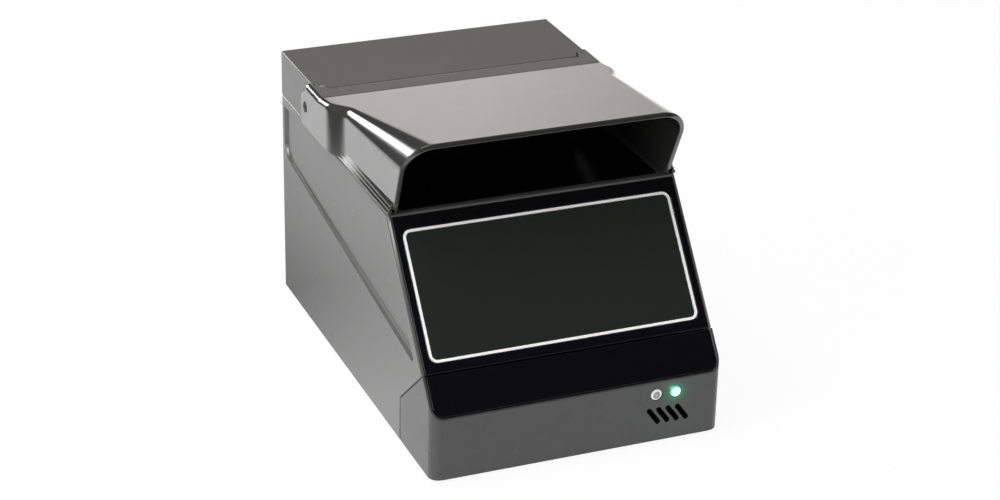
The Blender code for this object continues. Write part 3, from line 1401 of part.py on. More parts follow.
def make_heat_sink():
    """The finned heat sink: one comb profile, extruded."""
    half = SINK_SIZE / 2
    low = BOARD_TOP + PROCESSOR_HEIGHT + GAP
    root = low + SINK_BASE
    tip = root + SINK_FIN_HEIGHT
    comb = [(PROCESSOR_X + half, low), (PROCESSOR_X - half, low)]
    pitch = (SINK_SIZE - SINK_FIN) / (SINK_FINS - 1)
    for index in range(SINK_FINS):
        left = PROCESSOR_X - half + index * pitch
        right = left + SINK_FIN
        if index > 0:
            comb.append((left, root))
        comb += [(left, tip), (right, tip)]
        if index < SINK_FINS - 1:
            comb.append((right, root))
    place = Matrix.Translation((0, PROCESSOR_Y, 0)) @ FACE_PLANE
    plate("heat_sink", [comb], -half, half, aluminium, reader, place)


# Sockets
SOCKET_FACE = REAR_INSIDE + REAR_WALL * SOCKET_PROUD_SHARE


def make_sockets():
    """The data socket with its tongue, and the power socket with its pin."""
    half = USB_WIDTH / 2
    body = box(
        "usb_socket",
        (USB_OFFSET - half, SOCKET_FACE - USB_LENGTH, SOCKET_BOTTOM),
        (USB_OFFSET + half, SOCKET_FACE, USB_TOP),
        steel,
    )
    centre = (SOCKET_BOTTOM + USB_TOP) / 2
    mouth = box(
        "usb_mouth",
        (USB_OFFSET - USB_MOUTH_WIDTH / 2, SOCKET_FACE - USB_MOUTH_DEPTH, centre - USB_MOUTH_HEIGHT / 2),
        (USB_OFFSET + USB_MOUTH_WIDTH / 2, SOCKET_FACE + OVERRUN, centre + USB_MOUTH_HEIGHT / 2),
    )
    floor = SOCKET_FACE - USB_MOUTH_DEPTH
    tongue = box(
        "usb_tongue",
        (USB_OFFSET - USB_TONGUE_WIDTH / 2, floor - GAP, centre - USB_TONGUE_HEIGHT / 2),
        (USB_OFFSET + USB_TONGUE_WIDTH / 2, floor + USB_TONGUE_LENGTH, centre + USB_TONGUE_HEIGHT / 2),
    )
    cut(body, mouth)
    join(body, tongue)
    half = POWER_WIDTH / 2
    body = box(
        "power_socket",
        (POWER_OFFSET - half, SOCKET_FACE - POWER_LENGTH, SOCKET_BOTTOM),
        (POWER_OFFSET + half, SOCKET_FACE, POWER_TOP),
        chip_black,
    )
    centre = (SOCKET_BOTTOM + POWER_TOP) / 2
    floor = SOCKET_FACE - POWER_DEPTH
    bore = rods(
        "power_bore",
        POWER_BORE,
        [((POWER_OFFSET, floor, centre), (POWER_OFFSET, SOCKET_FACE + OVERRUN, centre))],
        sides=ROUND_SIDES,
    )
    pin = rods(
        "power_pin",
        POWER_PIN,
        [((POWER_OFFSET, floor - GAP, centre), (POWER_OFFSET, floor + POWER_PIN_LENGTH, centre))],
    )
    cut(body, bore)
    join(body, pin)


# Lamps, lamp board and speaker
def make_front_parts():
    """What sits behind the front panel: light pipes, their board, and the speaker with its gasket."""
    tip = LAMP_LENGTH - LAMP_PROUD
    behind = FRONT_WALL + GAP
    profile = [
        (0.0, -LAMP_PROUD),
        (LAMP_RADIUS * math.sin(math.pi / 4), -LAMP_PROUD * math.cos(math.pi / 4)),
        (LAMP_RADIUS, 0.0),
        (LAMP_RADIUS, behind),
        (LAMP_RADIUS + LAMP_FLANGE, behind),
        (LAMP_RADIUS + LAMP_FLANGE, behind + LAMP_FLANGE_THICKNESS),
        (LAMP_RADIUS - LAMP_FLANGE, behind + LAMP_FLANGE_THICKNESS),
        (LAMP_RADIUS - LAMP_FLANGE, tip),
        (0.0, tip),
    ]
    spun = [(radius, -along) for radius, along in profile]
    for name, offset, colour in zip(("ready_lamp", "status_lamp"), LAMP_OFFSETS, (clear_lens, green_lens)):
        place = Matrix.Translation((offset, 0, LAMP_HEIGHT)) @ FACE_PLANE
        turned(name, spun, place, colour)
    left = LAMP_CENTRE - LAMP_BOARD_WIDTH / 2
    board = box(
        "lamp_board",
        (left, BOSS_END, LAMP_BOARD_LOW),
        (left + LAMP_BOARD_WIDTH, BOSS_END + BOARD_THICKNESS, LAMP_BOARD_LOW + LAMP_BOARD_HEIGHT),
        board_green,
    )
    chips = bmesh.new()
    half = LAMP_CHIP / 2
    for offset in LAMP_OFFSETS:
        add_box(
            chips,
            (offset - half, tip + GAP, LAMP_HEIGHT - half),
            (offset + half, BOSS_END + GAP, LAMP_HEIGHT + half),
        )
    join(board, from_bmesh("lamp_chips", chips))

    def speaker_outline(inset):
        half_size = (SPEAKER_WIDTH / 2 - inset, SPEAKER_HEIGHT / 2 - inset)
        low = (SPEAKER_CENTRE - half_size[0], SLOT_HEIGHT - half_size[1])
        high = (SPEAKER_CENTRE + half_size[0], SLOT_HEIGHT + half_size[1])
        return rounded(rectangle(low, high), SPEAKER_CORNER_RADIUS - inset / 2)

    start = FRONT_WALL + GAP
    ring = [speaker_outline(0.0), speaker_outline(GASKET_BAND)]
    plate("speaker_gasket", ring, -start - GASKET_THICKNESS, -start, foam, reader, FACE_PLANE)
    face = start + GASKET_THICKNESS + GAP
    back = face + SPEAKER_DEPTH
    speaker = plate("speaker", [speaker_outline(0.0)], -back, -face, chip_black, reader, FACE_PLANE)
    magnet = rods(
        "magnet",
        MAGNET_RADIUS,
        [((SPEAKER_CENTRE, back - GAP, SLOT_HEIGHT), (SPEAKER_CENTRE, back + MAGNET_DEPTH, SLOT_HEIGHT))],
        sides=ROUND_SIDES,
    )
    join(speaker, magnet)


# Flat cables
def make_cables():
    """The camera's flat cable down to the main board, and the front cable along the base."""
    down = Vector((to_camera.z, -to_camera.y))
    heart = Vector((camera_centre.y, camera_centre.z))
    board_edge = heart + down * (CAMERA_BOARD / 2 + GAP + CABLE_THICKNESS)
    plug_top = BOARD_TOP + CONNECTOR_HEIGHT + GAP
    path = [
        board_edge,
        board_edge + Vector((0, -CAMERA_CABLE_BOW)),
        Vector((CAMERA_PLUG_Y, (board_edge.y + plug_top) / 2)),
        Vector((CAMERA_PLUG_Y, plug_top)),
    ]
    strip("camera_cable", path, CAMERA_CABLE_WIDTH, 0.0, CABLE_THICKNESS, cable_grey)
    half = CABLE_THICKNESS / 2
    floor = BASE_TOP + GAP + half
    start = BOSS_END + BOARD_THICKNESS + GAP + half
    slack = FRONT_CABLE_SLACK
    plug = BOARD_TOP + SMALL_CONNECTOR_HEIGHT / 2
    climb = BOARD_FRONT - GAP - half
    path = [
        Vector((start, LAMP_HEIGHT)),
        Vector((start + slack, LAMP_HEIGHT - slack)),
        Vector((start + slack, floor + slack)),
        Vector((start + 2 * slack, floor)),
        Vector((climb - slack, floor)),
        Vector((climb, floor + slack)),
        Vector((climb, plug)),
    ]
    strip("front_cable", path, FRONT_CABLE_WIDTH, FRONT_CABLE_X, CABLE_THICKNESS, cable_grey)


# The whole reader
make_housing()
make_front_panel()
make_window()
make_deck()
make_rear_cover()
make_hood()
make_plungers()
make_base()
make_light_box()
make_mirror()
make_camera()
make_light_bars()
make_chip_reader()
make_main_board()
make_sockets()
make_front_parts()
make_cables()

# Round pieces are shaded smooth between their sharp edges
for piece in parts.objects:
    if piece.type == "MESH":
        piece.data.shade_smooth()
        piece.data.set_sharp_from_angle(angle=math.radians(30))
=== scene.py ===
"""Dresses the passport reader: its mouldings, glass, lamps, hood and inner works, in a white studio."""

import math

import bmesh
import bpy
from mathutils import Matrix, Vector


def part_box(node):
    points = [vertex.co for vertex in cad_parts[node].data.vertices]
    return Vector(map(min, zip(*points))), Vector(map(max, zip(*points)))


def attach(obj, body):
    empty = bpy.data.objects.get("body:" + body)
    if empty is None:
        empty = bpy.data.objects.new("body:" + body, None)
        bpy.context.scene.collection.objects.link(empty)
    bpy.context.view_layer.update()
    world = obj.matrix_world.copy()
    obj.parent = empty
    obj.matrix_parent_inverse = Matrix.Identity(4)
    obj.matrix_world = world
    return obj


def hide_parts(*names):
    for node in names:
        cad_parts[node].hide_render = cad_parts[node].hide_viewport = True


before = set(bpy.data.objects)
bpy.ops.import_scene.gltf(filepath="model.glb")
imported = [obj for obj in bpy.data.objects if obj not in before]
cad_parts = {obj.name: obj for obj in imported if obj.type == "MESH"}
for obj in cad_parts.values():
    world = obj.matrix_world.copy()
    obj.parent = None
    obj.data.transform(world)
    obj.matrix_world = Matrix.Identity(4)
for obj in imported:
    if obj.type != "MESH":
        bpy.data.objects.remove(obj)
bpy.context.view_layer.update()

# Studio
# A white table in a white surround, with softboxes on the left, overhead and at the rear left. Polished faces
# mirror a pale backdrop behind, a dark room elsewhere, and a table that is dark on the left and in front and
# carries a painted shadow around and behind the object.
BACKDROP_WHITE = (1.0, 1.0, 1.0, 1.0)
PAPER_WHITE = (1.0, 0.984, 0.97, 1.0)
ROOM_DARK = (0.025, 0.025, 0.028, 1.0)
TABLE_COLOUR = (0.86, 0.86, 0.86, 1.0)
TABLE_HALF = 2.0
TABLE_GLOW = 0.94
PAINTED_SHADOW_DEPTH = 0.75
BACKDROP_GREY = 0.92
BACKDROP_FADE = 0.28
UPPER_GREY = 0.45
WORLD_FILL = 0.5
CAMERA_PLACE = Vector((-0.4055, -0.9822, 0.5575))
CAMERA_AZIMUTH = math.radians(22.62)
CAMERA_DIP = math.radians(25.26)
CAMERA_ROLL = math.radians(1.27)
CAMERA_LENS = 89.57
CAMERA_SENSOR = 36.0


class Wire:
    """A node's socket that takes part in arithmetic: an expression on it adds the Math nodes it needs."""

    def __init__(self, tree, socket=None):
        self.tree = tree
        self.socket = socket

    def node(self, kind, settings=None, inputs=None, output=0):
        """Adds any node: its settings first, then the values or links of its inputs."""
        made = self.tree.nodes.new(kind)
        for name, value in (settings or {}).items():
            if name == "stops":
                stops = made.color_ramp.elements
                while len(stops) < len(value):
                    stops.new(1.0)
                for stop, (place, colour) in zip(stops, value):
                    stop.position = place
                    stop.color = colour
            else:
                setattr(made, name, value)
        for name, value in (inputs or {}).items():
            if isinstance(value, Wire):
                self.tree.links.new(value.socket, made.inputs[name])
            else:
                made.inputs[name].default_value = value
        return Wire(self.tree, made.outputs[output] if len(made.outputs) else None)

    def math(self, operation, *values, clamp=False):
        settings = {"operation": operation, "use_clamp": clamp}
        return self.node("ShaderNodeMath", settings, dict(enumerate(values)))

    def __add__(self, other):
        return self.math("ADD", self, other)

    def __sub__(self, other):
        return self.math("SUBTRACT", self, other)

    def __rsub__(self, other):
        return self.math("SUBTRACT", other, self)

    def __mul__(self, other):
        return self.math("MULTIPLY", self, other)

    def __truediv__(self, other):
        return self.math("DIVIDE", self, other)

    __radd__ = __add__
    __rmul__ = __mul__


def axes(vector):
    """The X, Y and Z of a vector."""
    parts = vector.node("ShaderNodeSeparateXYZ", inputs={"Vector": vector}).socket.node
    return [Wire(vector.tree, part) for part in parts.outputs]


def risen(value, start, slope):
    """How far a value has climbed past a start, at a slope, held between 0 and 1."""
    return value.math("MULTIPLY", value - start, slope, clamp=True)


def blend(wire, share, low, high):
    """A colour between two, by a share from 0 to 1."""
    return wire.node("ShaderNodeMix", {"data_type": "RGBA"}, {0: share, 6: low, 7: high}, 2)


def blank_material(name):
    """A material without nodes, the Wire that adds them, and the place of a point on the piece."""
    material = bpy.data.materials.new(name)
    material.use_nodes = True
    material.node_tree.nodes.clear()
    wire = Wire(material.node_tree)
    return material, wire, wire.node("ShaderNodeTexCoord", output="Object")


def end_in(wire, shader):
    """Ends a material in a shader."""
    wire.node("ShaderNodeOutputMaterial", inputs={"Surface": shader})


for leftover in [thing for thing in bpy.data.objects if thing.type in {"LIGHT", "CAMERA"}]:
    bpy.data.objects.remove(leftover)

scene = bpy.context.scene
scene.view_settings.view_transform = "Standard"

surround = bpy.data.worlds.new("white_studio")
surround.use_nodes = True
surround.node_tree.nodes.clear()
sky = Wire(surround.node_tree)
direction = sky.node("ShaderNodeTexCoord", output="Generated")


def beyond(facing, limit, sharpness):
    """How far a direction has passed a limit along a facing, from 0 to 1."""
    dot = {"operation": "DOT_PRODUCT"}
    return risen(sky.node("ShaderNodeVectorMath", dot, {0: direction, 1: facing}, "Value"), limit, sharpness)


backdrop = beyond((0.974, -0.225, 0.0), 0.0, 14.0) * beyond((-0.5, 0.866, 0.0), 0.0, 7.0)
backdrop = BACKDROP_GREY * backdrop * beyond((0.0, 0.0, -1.0), -0.27, 10.0)
backdrop = backdrop * (1.0 - BACKDROP_FADE * beyond((0.5, -0.866, 0.0), -0.633, 15.0))
upper = beyond((0.99, -0.10, 0.0), 0.0, 8.0) * beyond((0.0, 0.0, 1.0), 0.28, 16.0)
upper = upper * beyond((0.0, 0.0, -1.0), -0.80, 5.0) * beyond((0.0, 1.0, 0.0), 0.1, 6.0)
front_right = beyond((1.0, 0.0, 0.0), 0.375, 24.0) * beyond((0.0, -1.0, 0.0), 0.17, 12.0)
front_right = front_right * beyond((0.0, 1.0, 0.0), -0.285, 25.0) * beyond((0.0, 0.0, 1.0), 0.5, 8.0)
mirrored_room = blend(sky, backdrop + UPPER_GREY * upper + front_right, ROOM_DARK, PAPER_WHITE)
seen = sky.node("ShaderNodeLightPath", output="Is Camera Ray")
lit = sky.node("ShaderNodeLightPath", output="Is Diffuse Ray")
tint = blend(sky, sky.math("MAXIMUM", seen, lit), mirrored_room, BACKDROP_WHITE)
strength = 1.0 - (1.0 - WORLD_FILL) * lit
glow = sky.node("ShaderNodeBackground", inputs={"Color": tint, "Strength": strength})
sky.node("ShaderNodeOutputWorld", inputs={"Surface": glow})
scene.world = surround


def soft_light(name, place, target, size, power):
    """A rectangular softbox that faces a point."""
    lamp = bpy.data.lights.new(name, "AREA")
    lamp.shape = "RECTANGLE"
    lamp.size, lamp.size_y = size
    lamp.energy = power
    holder = bpy.data.objects.new(name, lamp)
    scene.collection.objects.link(holder)
    holder.visible_camera = False
    holder.location = place
    holder.rotation_euler = (Vector(target) - Vector(place)).to_track_quat("-Z", "Y").to_euler()


soft_light("left_softbox", (-1.1, -0.16, 0.54), (0.0, 0.0, 0.08), (0.7, 0.7), 10.0)
soft_light("overhead_softbox", (-0.3, 0.1, 1.3), (0.0, 0.0, 0.12), (0.6, 0.6), 8.0)
soft_light("rear_left_softbox", (-0.37, 1.06, 0.34), (0.0, 0.0, 0.12), (0.30, 0.33), 2.6)

table_corners = [(x * TABLE_HALF, y * TABLE_HALF, 0) for x, y in ((-1, -1), (1, -1), (1, 1), (-1, 1))]
table_mesh = bpy.data.meshes.new("table")
table_mesh.from_pydata(table_corners, [], [(0, 1, 2, 3)])
table = bpy.data.objects.new("table", table_mesh)
scene.collection.objects.link(table)
table_white, cloth, place = blank_material("table_white")
in_view = cloth.node("ShaderNodeLightPath", output="Is Camera Ray")
mirrored = cloth.node("ShaderNodeLightPath", output="Is Glossy Ray")
rightward, rearward, _ = axes(place)
# Painted shadow: the table's glow in reflections dims around and behind the object.
painted_shadow = risen(rightward, -0.15, 12.0) * risen(rearward, -0.02, 8.0) * risen(0.12 - rightward, 0.0, 15.0)
glint = risen(rightward, -0.31, 18.0) * risen(rearward, -0.27, 20.0) * (1.0 - PAINTED_SHADOW_DEPTH * painted_shadow)
matt = cloth.node("ShaderNodeBsdfDiffuse", inputs={"Color": TABLE_COLOUR})
shine = in_view + mirrored * glint
bright = cloth.node("ShaderNodeEmission", inputs={"Color": BACKDROP_WHITE, "Strength": shine})
glow_share = in_view * TABLE_GLOW + mirrored
end_in(cloth, cloth.node("ShaderNodeMixShader", inputs={0: glow_share, 1: matt, 2: bright}))
table_mesh.materials.append(table_white)

camera = bpy.data.objects.new("camera", bpy.data.cameras.new("camera"))
scene.collection.objects.link(camera)
camera.data.lens = CAMERA_LENS
camera.data.sensor_width = CAMERA_SENSOR
forward = Vector(
    (
        math.sin(CAMERA_AZIMUTH) * math.cos(CAMERA_DIP),
        math.cos(CAMERA_AZIMUTH) * math.cos(CAMERA_DIP),
        -math.sin(CAMERA_DIP),
    )
)
level = Vector((math.cos(CAMERA_AZIMUTH), -math.sin(CAMERA_AZIMUTH), 0.0))
right = Matrix.Rotation(-CAMERA_ROLL, 3, forward) @ level
upward = right.cross(forward)
turned = Matrix((right, upward, -forward)).transposed().to_4x4()
camera.matrix_world = Matrix.Translation(CAMERA_PLACE) @ turned
scene.camera = camera

# Housing
# The main moulding, with both side walls, their shallow recessed fields and the rear wall. Injection-moulded
# anthracite plastic with a fine spark-eroded grain, screwed to the base plate from below.
ANTHRACITE = (0.090, 0.088, 0.087)
# Black painted as shade inside the front panel's slots.
PAINTED_SHADE_BLACK = (0.001, 0.001, 0.001, 1.0)
PLASTIC_IOR = 1.58
HOUSING_IOR = 1.8
HOUSING_EDGE = 0.00035
SEAM_EDGE = 0.0005
FIELD_EDGE = 0.0006
WIDEST_EDGE = 0.0006
EDGE_SEGMENTS = 3
EDGE_ANGLE = math.radians(25.0)
FLAT_ANGLE = math.radians(0.3)
MERGE_REACH = 0.000002
SIDE_FACE = 0.0698
SIDE_ROUND = 0.0684
SEAM_REAR, SEAM_TOP = -0.064, 0.047
FIELD_LOW, FIELD_HIGH, FIELD_REAR = 0.048, 0.1032, 0.102
SLOPE_REAR, SHOULDER = -0.045, 0.1049
TOP_FACE, REAR_FACE = 0.1025, 0.1045
SLOPE_INWARD = Vector((0.0, 0.785, -0.62))
SLOPE_EDGE = Vector((0.0, -0.0470, 0.1049))
SLOPE_FOOT = 0.0465
ROUND_DEPTH = 0.00085
ROUND_OUTER, ROUND_MIDDLE, ROUND_INNER = 0.0699, 0.0697, 0.0691
OUTER_PUSH, MIDDLE_PUSH, MIDDLE_PULL = 0.0006, 0.00018, 0.00021
ROUND_TOP_SIDE = 0.06862


def shade_of(colour, factor=1.0):
    """A colour made darker or lighter."""
    return (*(min(part * factor, 1.0) for part in colour), 1.0)


def noise(place, scale, detail):
    """Soft noise over a piece, from 0 to 1."""
    return place.node("ShaderNodeTexNoise", inputs={"Vector": place, "Scale": scale, "Detail": detail})


def moulded(
    name, colour, roughness, grain=0.25, grain_scale=2600.0, lacquer=0.0, painted_shade_mask=None, ior=PLASTIC_IOR
):
    """A moulded plastic: a fine even grain, faint clouding of the colour, small changes of gloss, and painted
    shade where a mask is given.
    """
    plastic, wire, place = blank_material(name)
    pits = noise(place, grain_scale, 2.0)
    tone = blend(wire, noise(place, 26.0, 3.0), shade_of(colour, 0.93), shade_of(colour, 1.07))
    gloss = noise(place, 90.0, 5.0) * 0.10 + pits * 0.06 + (roughness - 0.08)
    # Painted shade: where the mask is given, the colour turns black and the gloss rougher.
    if painted_shade_mask:
        painted_shade = painted_shade_mask(place)
        tone = blend(wire, painted_shade, tone, PAINTED_SHADE_BLACK)
        gloss = gloss + painted_shade
    bump = wire.node("ShaderNodeBump", inputs={"Strength": grain, "Distance": 0.00002, "Height": pits})
    looks = {
        "Base Color": tone,
        "Roughness": gloss,
        "IOR": ior,
        "Coat Weight": lacquer,
        "Coat Roughness": 0.10,
        "Normal": bump,
    }
    end_in(wire, wire.node("ShaderNodeBsdfPrincipled", inputs=looks))
    return plastic


def place_piece(name, mesh, material, body, nodes=()):
    """Puts a finished mesh in the scene on its body, in place of the nodes that it dresses."""
    piece = bpy.data.objects.new(name, mesh)
    scene.collection.objects.link(piece)
    mesh.materials.clear()
    mesh.materials.append(material)
    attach(piece, body)
    if nodes:
        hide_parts(*nodes)


def applied(piece):
    """The mesh that a piece's modifiers make. The piece itself goes."""
    graph = bpy.context.evaluated_depsgraph_get()
    mesh = bpy.data.meshes.new_from_object(piece.evaluated_get(graph))
    bpy.data.objects.remove(piece)
    return mesh


def edged(node, width, special=None, reshape=None):
    """A solid with its edges rounded as they leave the mould, some wider by where their middle lies."""
    build = bmesh.new()
    build.from_mesh(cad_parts[node].data)
    bmesh.ops.remove_doubles(build, verts=build.verts, dist=MERGE_REACH)
    bmesh.ops.dissolve_limit(build, angle_limit=FLAT_ANGLE, verts=build.verts, edges=build.edges)
    if reshape:
        reshape(build)
    for face in build.faces:
        face.smooth = True
    share = build.edges.layers.float.new("bevel_weight_edge")
    widest = max(width, WIDEST_EDGE)
    for edge in build.edges:
        if len(edge.link_faces) == 2 and edge.calc_face_angle() > EDGE_ANGLE:
            middle = (edge.verts[0].co + edge.verts[1].co) / 2
            edge[share] = (special(middle) if special else width) / widest
    mesh = bpy.data.meshes.new(node)
    build.to_mesh(mesh)
    build.free()
    piece = bpy.data.objects.new(node, mesh)
    scene.collection.objects.link(piece)
    rounding = piece.modifiers.new("edges", "BEVEL")
    rounding.width = widest
    rounding.segments = EDGE_SEGMENTS
    rounding.limit_method = "WEIGHT"
    rounding.use_clamp_overlap = special is None
    flats = piece.modifiers.new("flats", "WEIGHTED_NORMAL")
    flats.keep_sharp = True
    return applied(piece)


def housing_edges(middle):
    """Wide at the seam with the front panel's wings and at the mouths of the side fields, none inside."""
    on_side = abs(middle.x) > SIDE_FACE
    if on_side and middle.y < SEAM_REAR and middle.z < SEAM_TOP:
        return SEAM_EDGE
    if on_side and FIELD_LOW < middle.z < FIELD_HIGH and middle.y < FIELD_REAR:
        return FIELD_EDGE
    if middle.y < SLOPE_REAR and middle.z < SHOULDER:
        return 0.0
    outside = abs(middle.x) > SIDE_ROUND or middle.z > TOP_FACE or middle.y > REAR_FACE
    return HOUSING_EDGE if outside else 0.0


def rounder_slope(build):
    """Widens the small round that runs down both sides of the slope, up to the rebate of the bezel."""
    for vert in build.verts:
        flank = math.copysign(1.0, vert.co.x)
        reach = abs(vert.co.x)
        depth = SLOPE_INWARD.dot(vert.co - SLOPE_EDGE)
        if reach > ROUND_INNER and depth < ROUND_DEPTH and vert.co.z > SLOPE_FOOT:
            if reach > ROUND_OUTER:
                vert.co += SLOPE_INWARD * OUTER_PUSH
            elif reach > ROUND_MIDDLE:
                vert.co += SLOPE_INWARD * MIDDLE_PUSH - Vector((MIDDLE_PULL * flank, 0.0, 0.0))
            else:
                vert.co.x = ROUND_TOP_SIDE * flank


body_plastic = moulded("body_plastic", ANTHRACITE, 0.25, ior=HOUSING_IOR)
housing_mesh = edged("housing", HOUSING_EDGE, housing_edges, rounder_slope)
place_piece("housing_shell", housing_mesh, body_plastic, "reader", ("housing",))

# Front panel
# The front moulding with its two side wings, lamp holes and four slanted sound slots, in the housing's
# plastic made darker as painted shade, with painted black shade inside the slots, clipped between the housing
# walls and screwed from below.
# A darker copy of the housing's grey: painted shade for the front face.
FRONT_SHADED_GREY = (0.056, 0.056, 0.057)
PANEL_EDGE = 0.0003
SLOT_EDGE = 0.0001
PANEL_INNER_HALF = 0.0655
PANEL_SKIN = -0.1049
WING_REAR, WING_FOOT = -0.099, 0.01
SLOT_TOP = 0.029
PANEL_FRONT = -0.1035
SHADE_SLOPE = 3000.0


def slot_painted_shade(place):
    """Painted shade, black and rough, where the panel is seen only through its slots: behind the front face,
    and between the wings.
    """
    across, depth, _ = axes(place)
    between = PANEL_INNER_HALF - place.math("ABSOLUTE", across)
    return risen(depth, PANEL_SKIN, SHADE_SLOPE) * risen(between, 0.0, SHADE_SLOPE)


def panel_edges(middle):
    """Wide at the wings' seams with the housing, fine round the slots, none inside."""
    if abs(middle.x) > SIDE_FACE and middle.z > WING_FOOT and middle.y > WING_REAR:
        return SEAM_EDGE
    if abs(middle.x) < PANEL_INNER_HALF and middle.z < SLOT_TOP:
        return SLOT_EDGE
    return PANEL_EDGE if abs(middle.x) > SIDE_ROUND or middle.y < PANEL_FRONT else 0.0


front_plastic = moulded("front_plastic", FRONT_SHADED_GREY, 0.26, painted_shade_mask=slot_painted_shade)
panel_mesh = edged("front_panel", PANEL_EDGE, panel_edges)
place_piece("front_panel_shell", panel_mesh, front_plastic, "reader", ("front_panel",))

# Bezels, outline and scan glass
# A polished black plastic frame and lower strip on the slope, a white plastic ring pressed into the frame,
# and the coated glass pane over the camera shaft, all set flush in a rebate.
BEZEL_BLACK = (0.0035, 0.0035, 0.0042)
RING_WHITE = (0.95, 0.95, 0.94)
PANE_COLOUR = (0.020, 0.022, 0.020)
DUST_GREY = (0.4, 0.4, 0.4, 1.0)
WHITE, BLACK = (1.0, 1.0, 1.0, 1.0), (0.0, 0.0, 0.0, 1.0)


def polished(name, colour, roughness, speck=0.0):
    """A polished surface with a breath of smudges in its gloss."""
    gloss, wire, place = blank_material(name)
    smudge = noise(place, 38.0, 6.0)
    dust = wire.node("ShaderNodeTexVoronoi", inputs={"Vector": place, "Scale": 900.0})
    fleck = wire.node("ShaderNodeValToRGB", {"stops": [(0.0, WHITE), (0.12, BLACK)]}, {0: dust})
    tone = blend(wire, fleck * speck, shade_of(colour), DUST_GREY)
    looks = {"Base Color": tone, "Roughness": smudge * 0.08 + roughness}
    end_in(wire, wire.node("ShaderNodeBsdfPrincipled", inputs=looks))
    return gloss


gloss_black = polished("gloss_black", BEZEL_BLACK, 0.10, 0.02)
white_ring = polished("white_ring", RING_WHITE, 0.32)
pane = polished("coated_pane", PANE_COLOUR, 0.02, 0.01)
for node, width, polish, slot in (
    ("lower_bezel", 0.0007, gloss_black, "gloss_black"),
    ("window_bezel", 0.0005, gloss_black, "gloss_black"),
    ("window_outline", 0.0001, white_ring, "white_inlay"),
    ("scan_glass", 0.0002, pane, "window_glass"),
):
    rim = (lambda middle, width=width: width) if polish is gloss_black else None
    place_piece(node + "_face", edged(node, width, rim), polish, "reader", (node,))

# Document deck
# The flat plate under the hood, between the housing's shoulders: the same polished black plastic as the
# bezel, dropped into a seat in the housing over the chip reader's antenna.
DECK_EDGE = 0.0003
deck_mesh = edged("document_deck", DECK_EDGE)
place_piece("deck_plate", deck_mesh, gloss_black, "reader", ("document_deck",))

# Rear cover
# The box-shaped cover over the camera tower, with a wide tongue that fits a notch in the hood. Moulded in a
# darker and smoother batch of the housing's plastic, and held from inside.
COVER_GREY = (0.070, 0.068, 0.067)
COVER_EDGE = 0.0003
COVER_FOOT_EDGE = 0.0004
COVER_FOOT, COVER_TOP = 0.107, 0.1268
COVER_SIDE = 0.0694


def cover_edges(middle):
    """Wide along the foot, where the cover meets the housing, none inside."""
    on_wall = abs(middle.x) > COVER_SIDE or middle.y > REAR_FACE
    if middle.z < COVER_FOOT and on_wall:
        return COVER_FOOT_EDGE
    return COVER_EDGE if on_wall or middle.z > COVER_TOP else 0.0


cover_plastic = moulded("cover_plastic", COVER_GREY, 0.20)
cover_mesh = edged("rear_cover", COVER_EDGE, cover_edges)
place_piece("rear_cover_shell", cover_mesh, cover_plastic, "reader", ("rear_cover",))

# Hood
# The light shield: one bent wall with a rounded lip in front, sides that step out into two ears behind, and
# ribbed foot flanges that run along the deck. Moulded in a darker, lacquered plastic, and slid off forwards.
HOOD_GREY = (0.036, 0.035, 0.034)
FLOOR_TO_FOOT = 0.0015
FRONT_TO_MIDDLE = -0.105
HOOD_SIZES = {
    "Half Width": 0.070,
    "Foot": 0.1037,
    "Roof": 0.126,
    "Bend": 0.1445,
    "Lip Top": 0.0415,
    "Lip Rise": 0.0155,
    "Lip Lean": 0.0165,
    "Lip Radius": 0.0138,
    "Rear Radius": 0.0028,
    "Lip Inset": 0.0021,
    "Neck Inset": 0.0017,
    "Draft": 0.0007,
    "Step Front": 0.118,
    "Step Length": 0.016,
    "Ear Proud": 0.0027,
    "Ear Tail": 0.1719,
    "Ear Round": 0.0075,
    "Strip End": 0.1603,
    "Tongue": 0.1552,
    "Plunger Depth": 0.1644,
    "Plunger Height": 0.1141,
}
HOOD_WALL = 0.0023
HOOD_RIM = 0.0004
HOOD_RIM_ANGLE = math.radians(40)
HOLE_RADIUS = 0.0026
HOLE_SIDES = 48
HOOD_COLUMNS = 101
LIP_ROWS = 96
TAIL_ROWS = 8
BEND_ROW = LIP_ROWS / (LIP_ROWS + TAIL_ROWS)
ROOF_COLUMNS = (0.20, 0.22, 0.26)
ROOF_SHARES = (0.9099, 0.0243, 0.0658)
SIDE_COLUMNS = 0.56
COLUMN_LEEWAY = 0.001
FLANGE_FRONT, FLANGE_REAR = 0.057, 0.134
FLANGE_INSIDE, FLANGE_OUTSIDE = 0.0661, 0.0699
FLANGE_STEP = 0.0007
FLANGE_LEVEL = 0.0015
FLANGE_LEVELS = (1, 2, 3)
FLANGE_ROUND = 0.0005
LEFT_AND_RIGHT = (-1, 1)


def node_group(name, sizes):
    """A Geometry Nodes tree with a named input for each size, its Wire, and the inputs' Wires."""
    tree = bpy.data.node_groups.new(name, "GeometryNodeTree")
    for size in sizes:
        tree.interface.new_socket(size, in_out="INPUT", socket_type="NodeSocketFloat")
    tree.interface.new_socket("Shape", in_out="OUTPUT", socket_type="NodeSocketGeometry")
    entry = tree.nodes.new("NodeGroupInput")
    return tree, Wire(tree), {size: Wire(tree, entry.outputs[size]) for size in sizes}


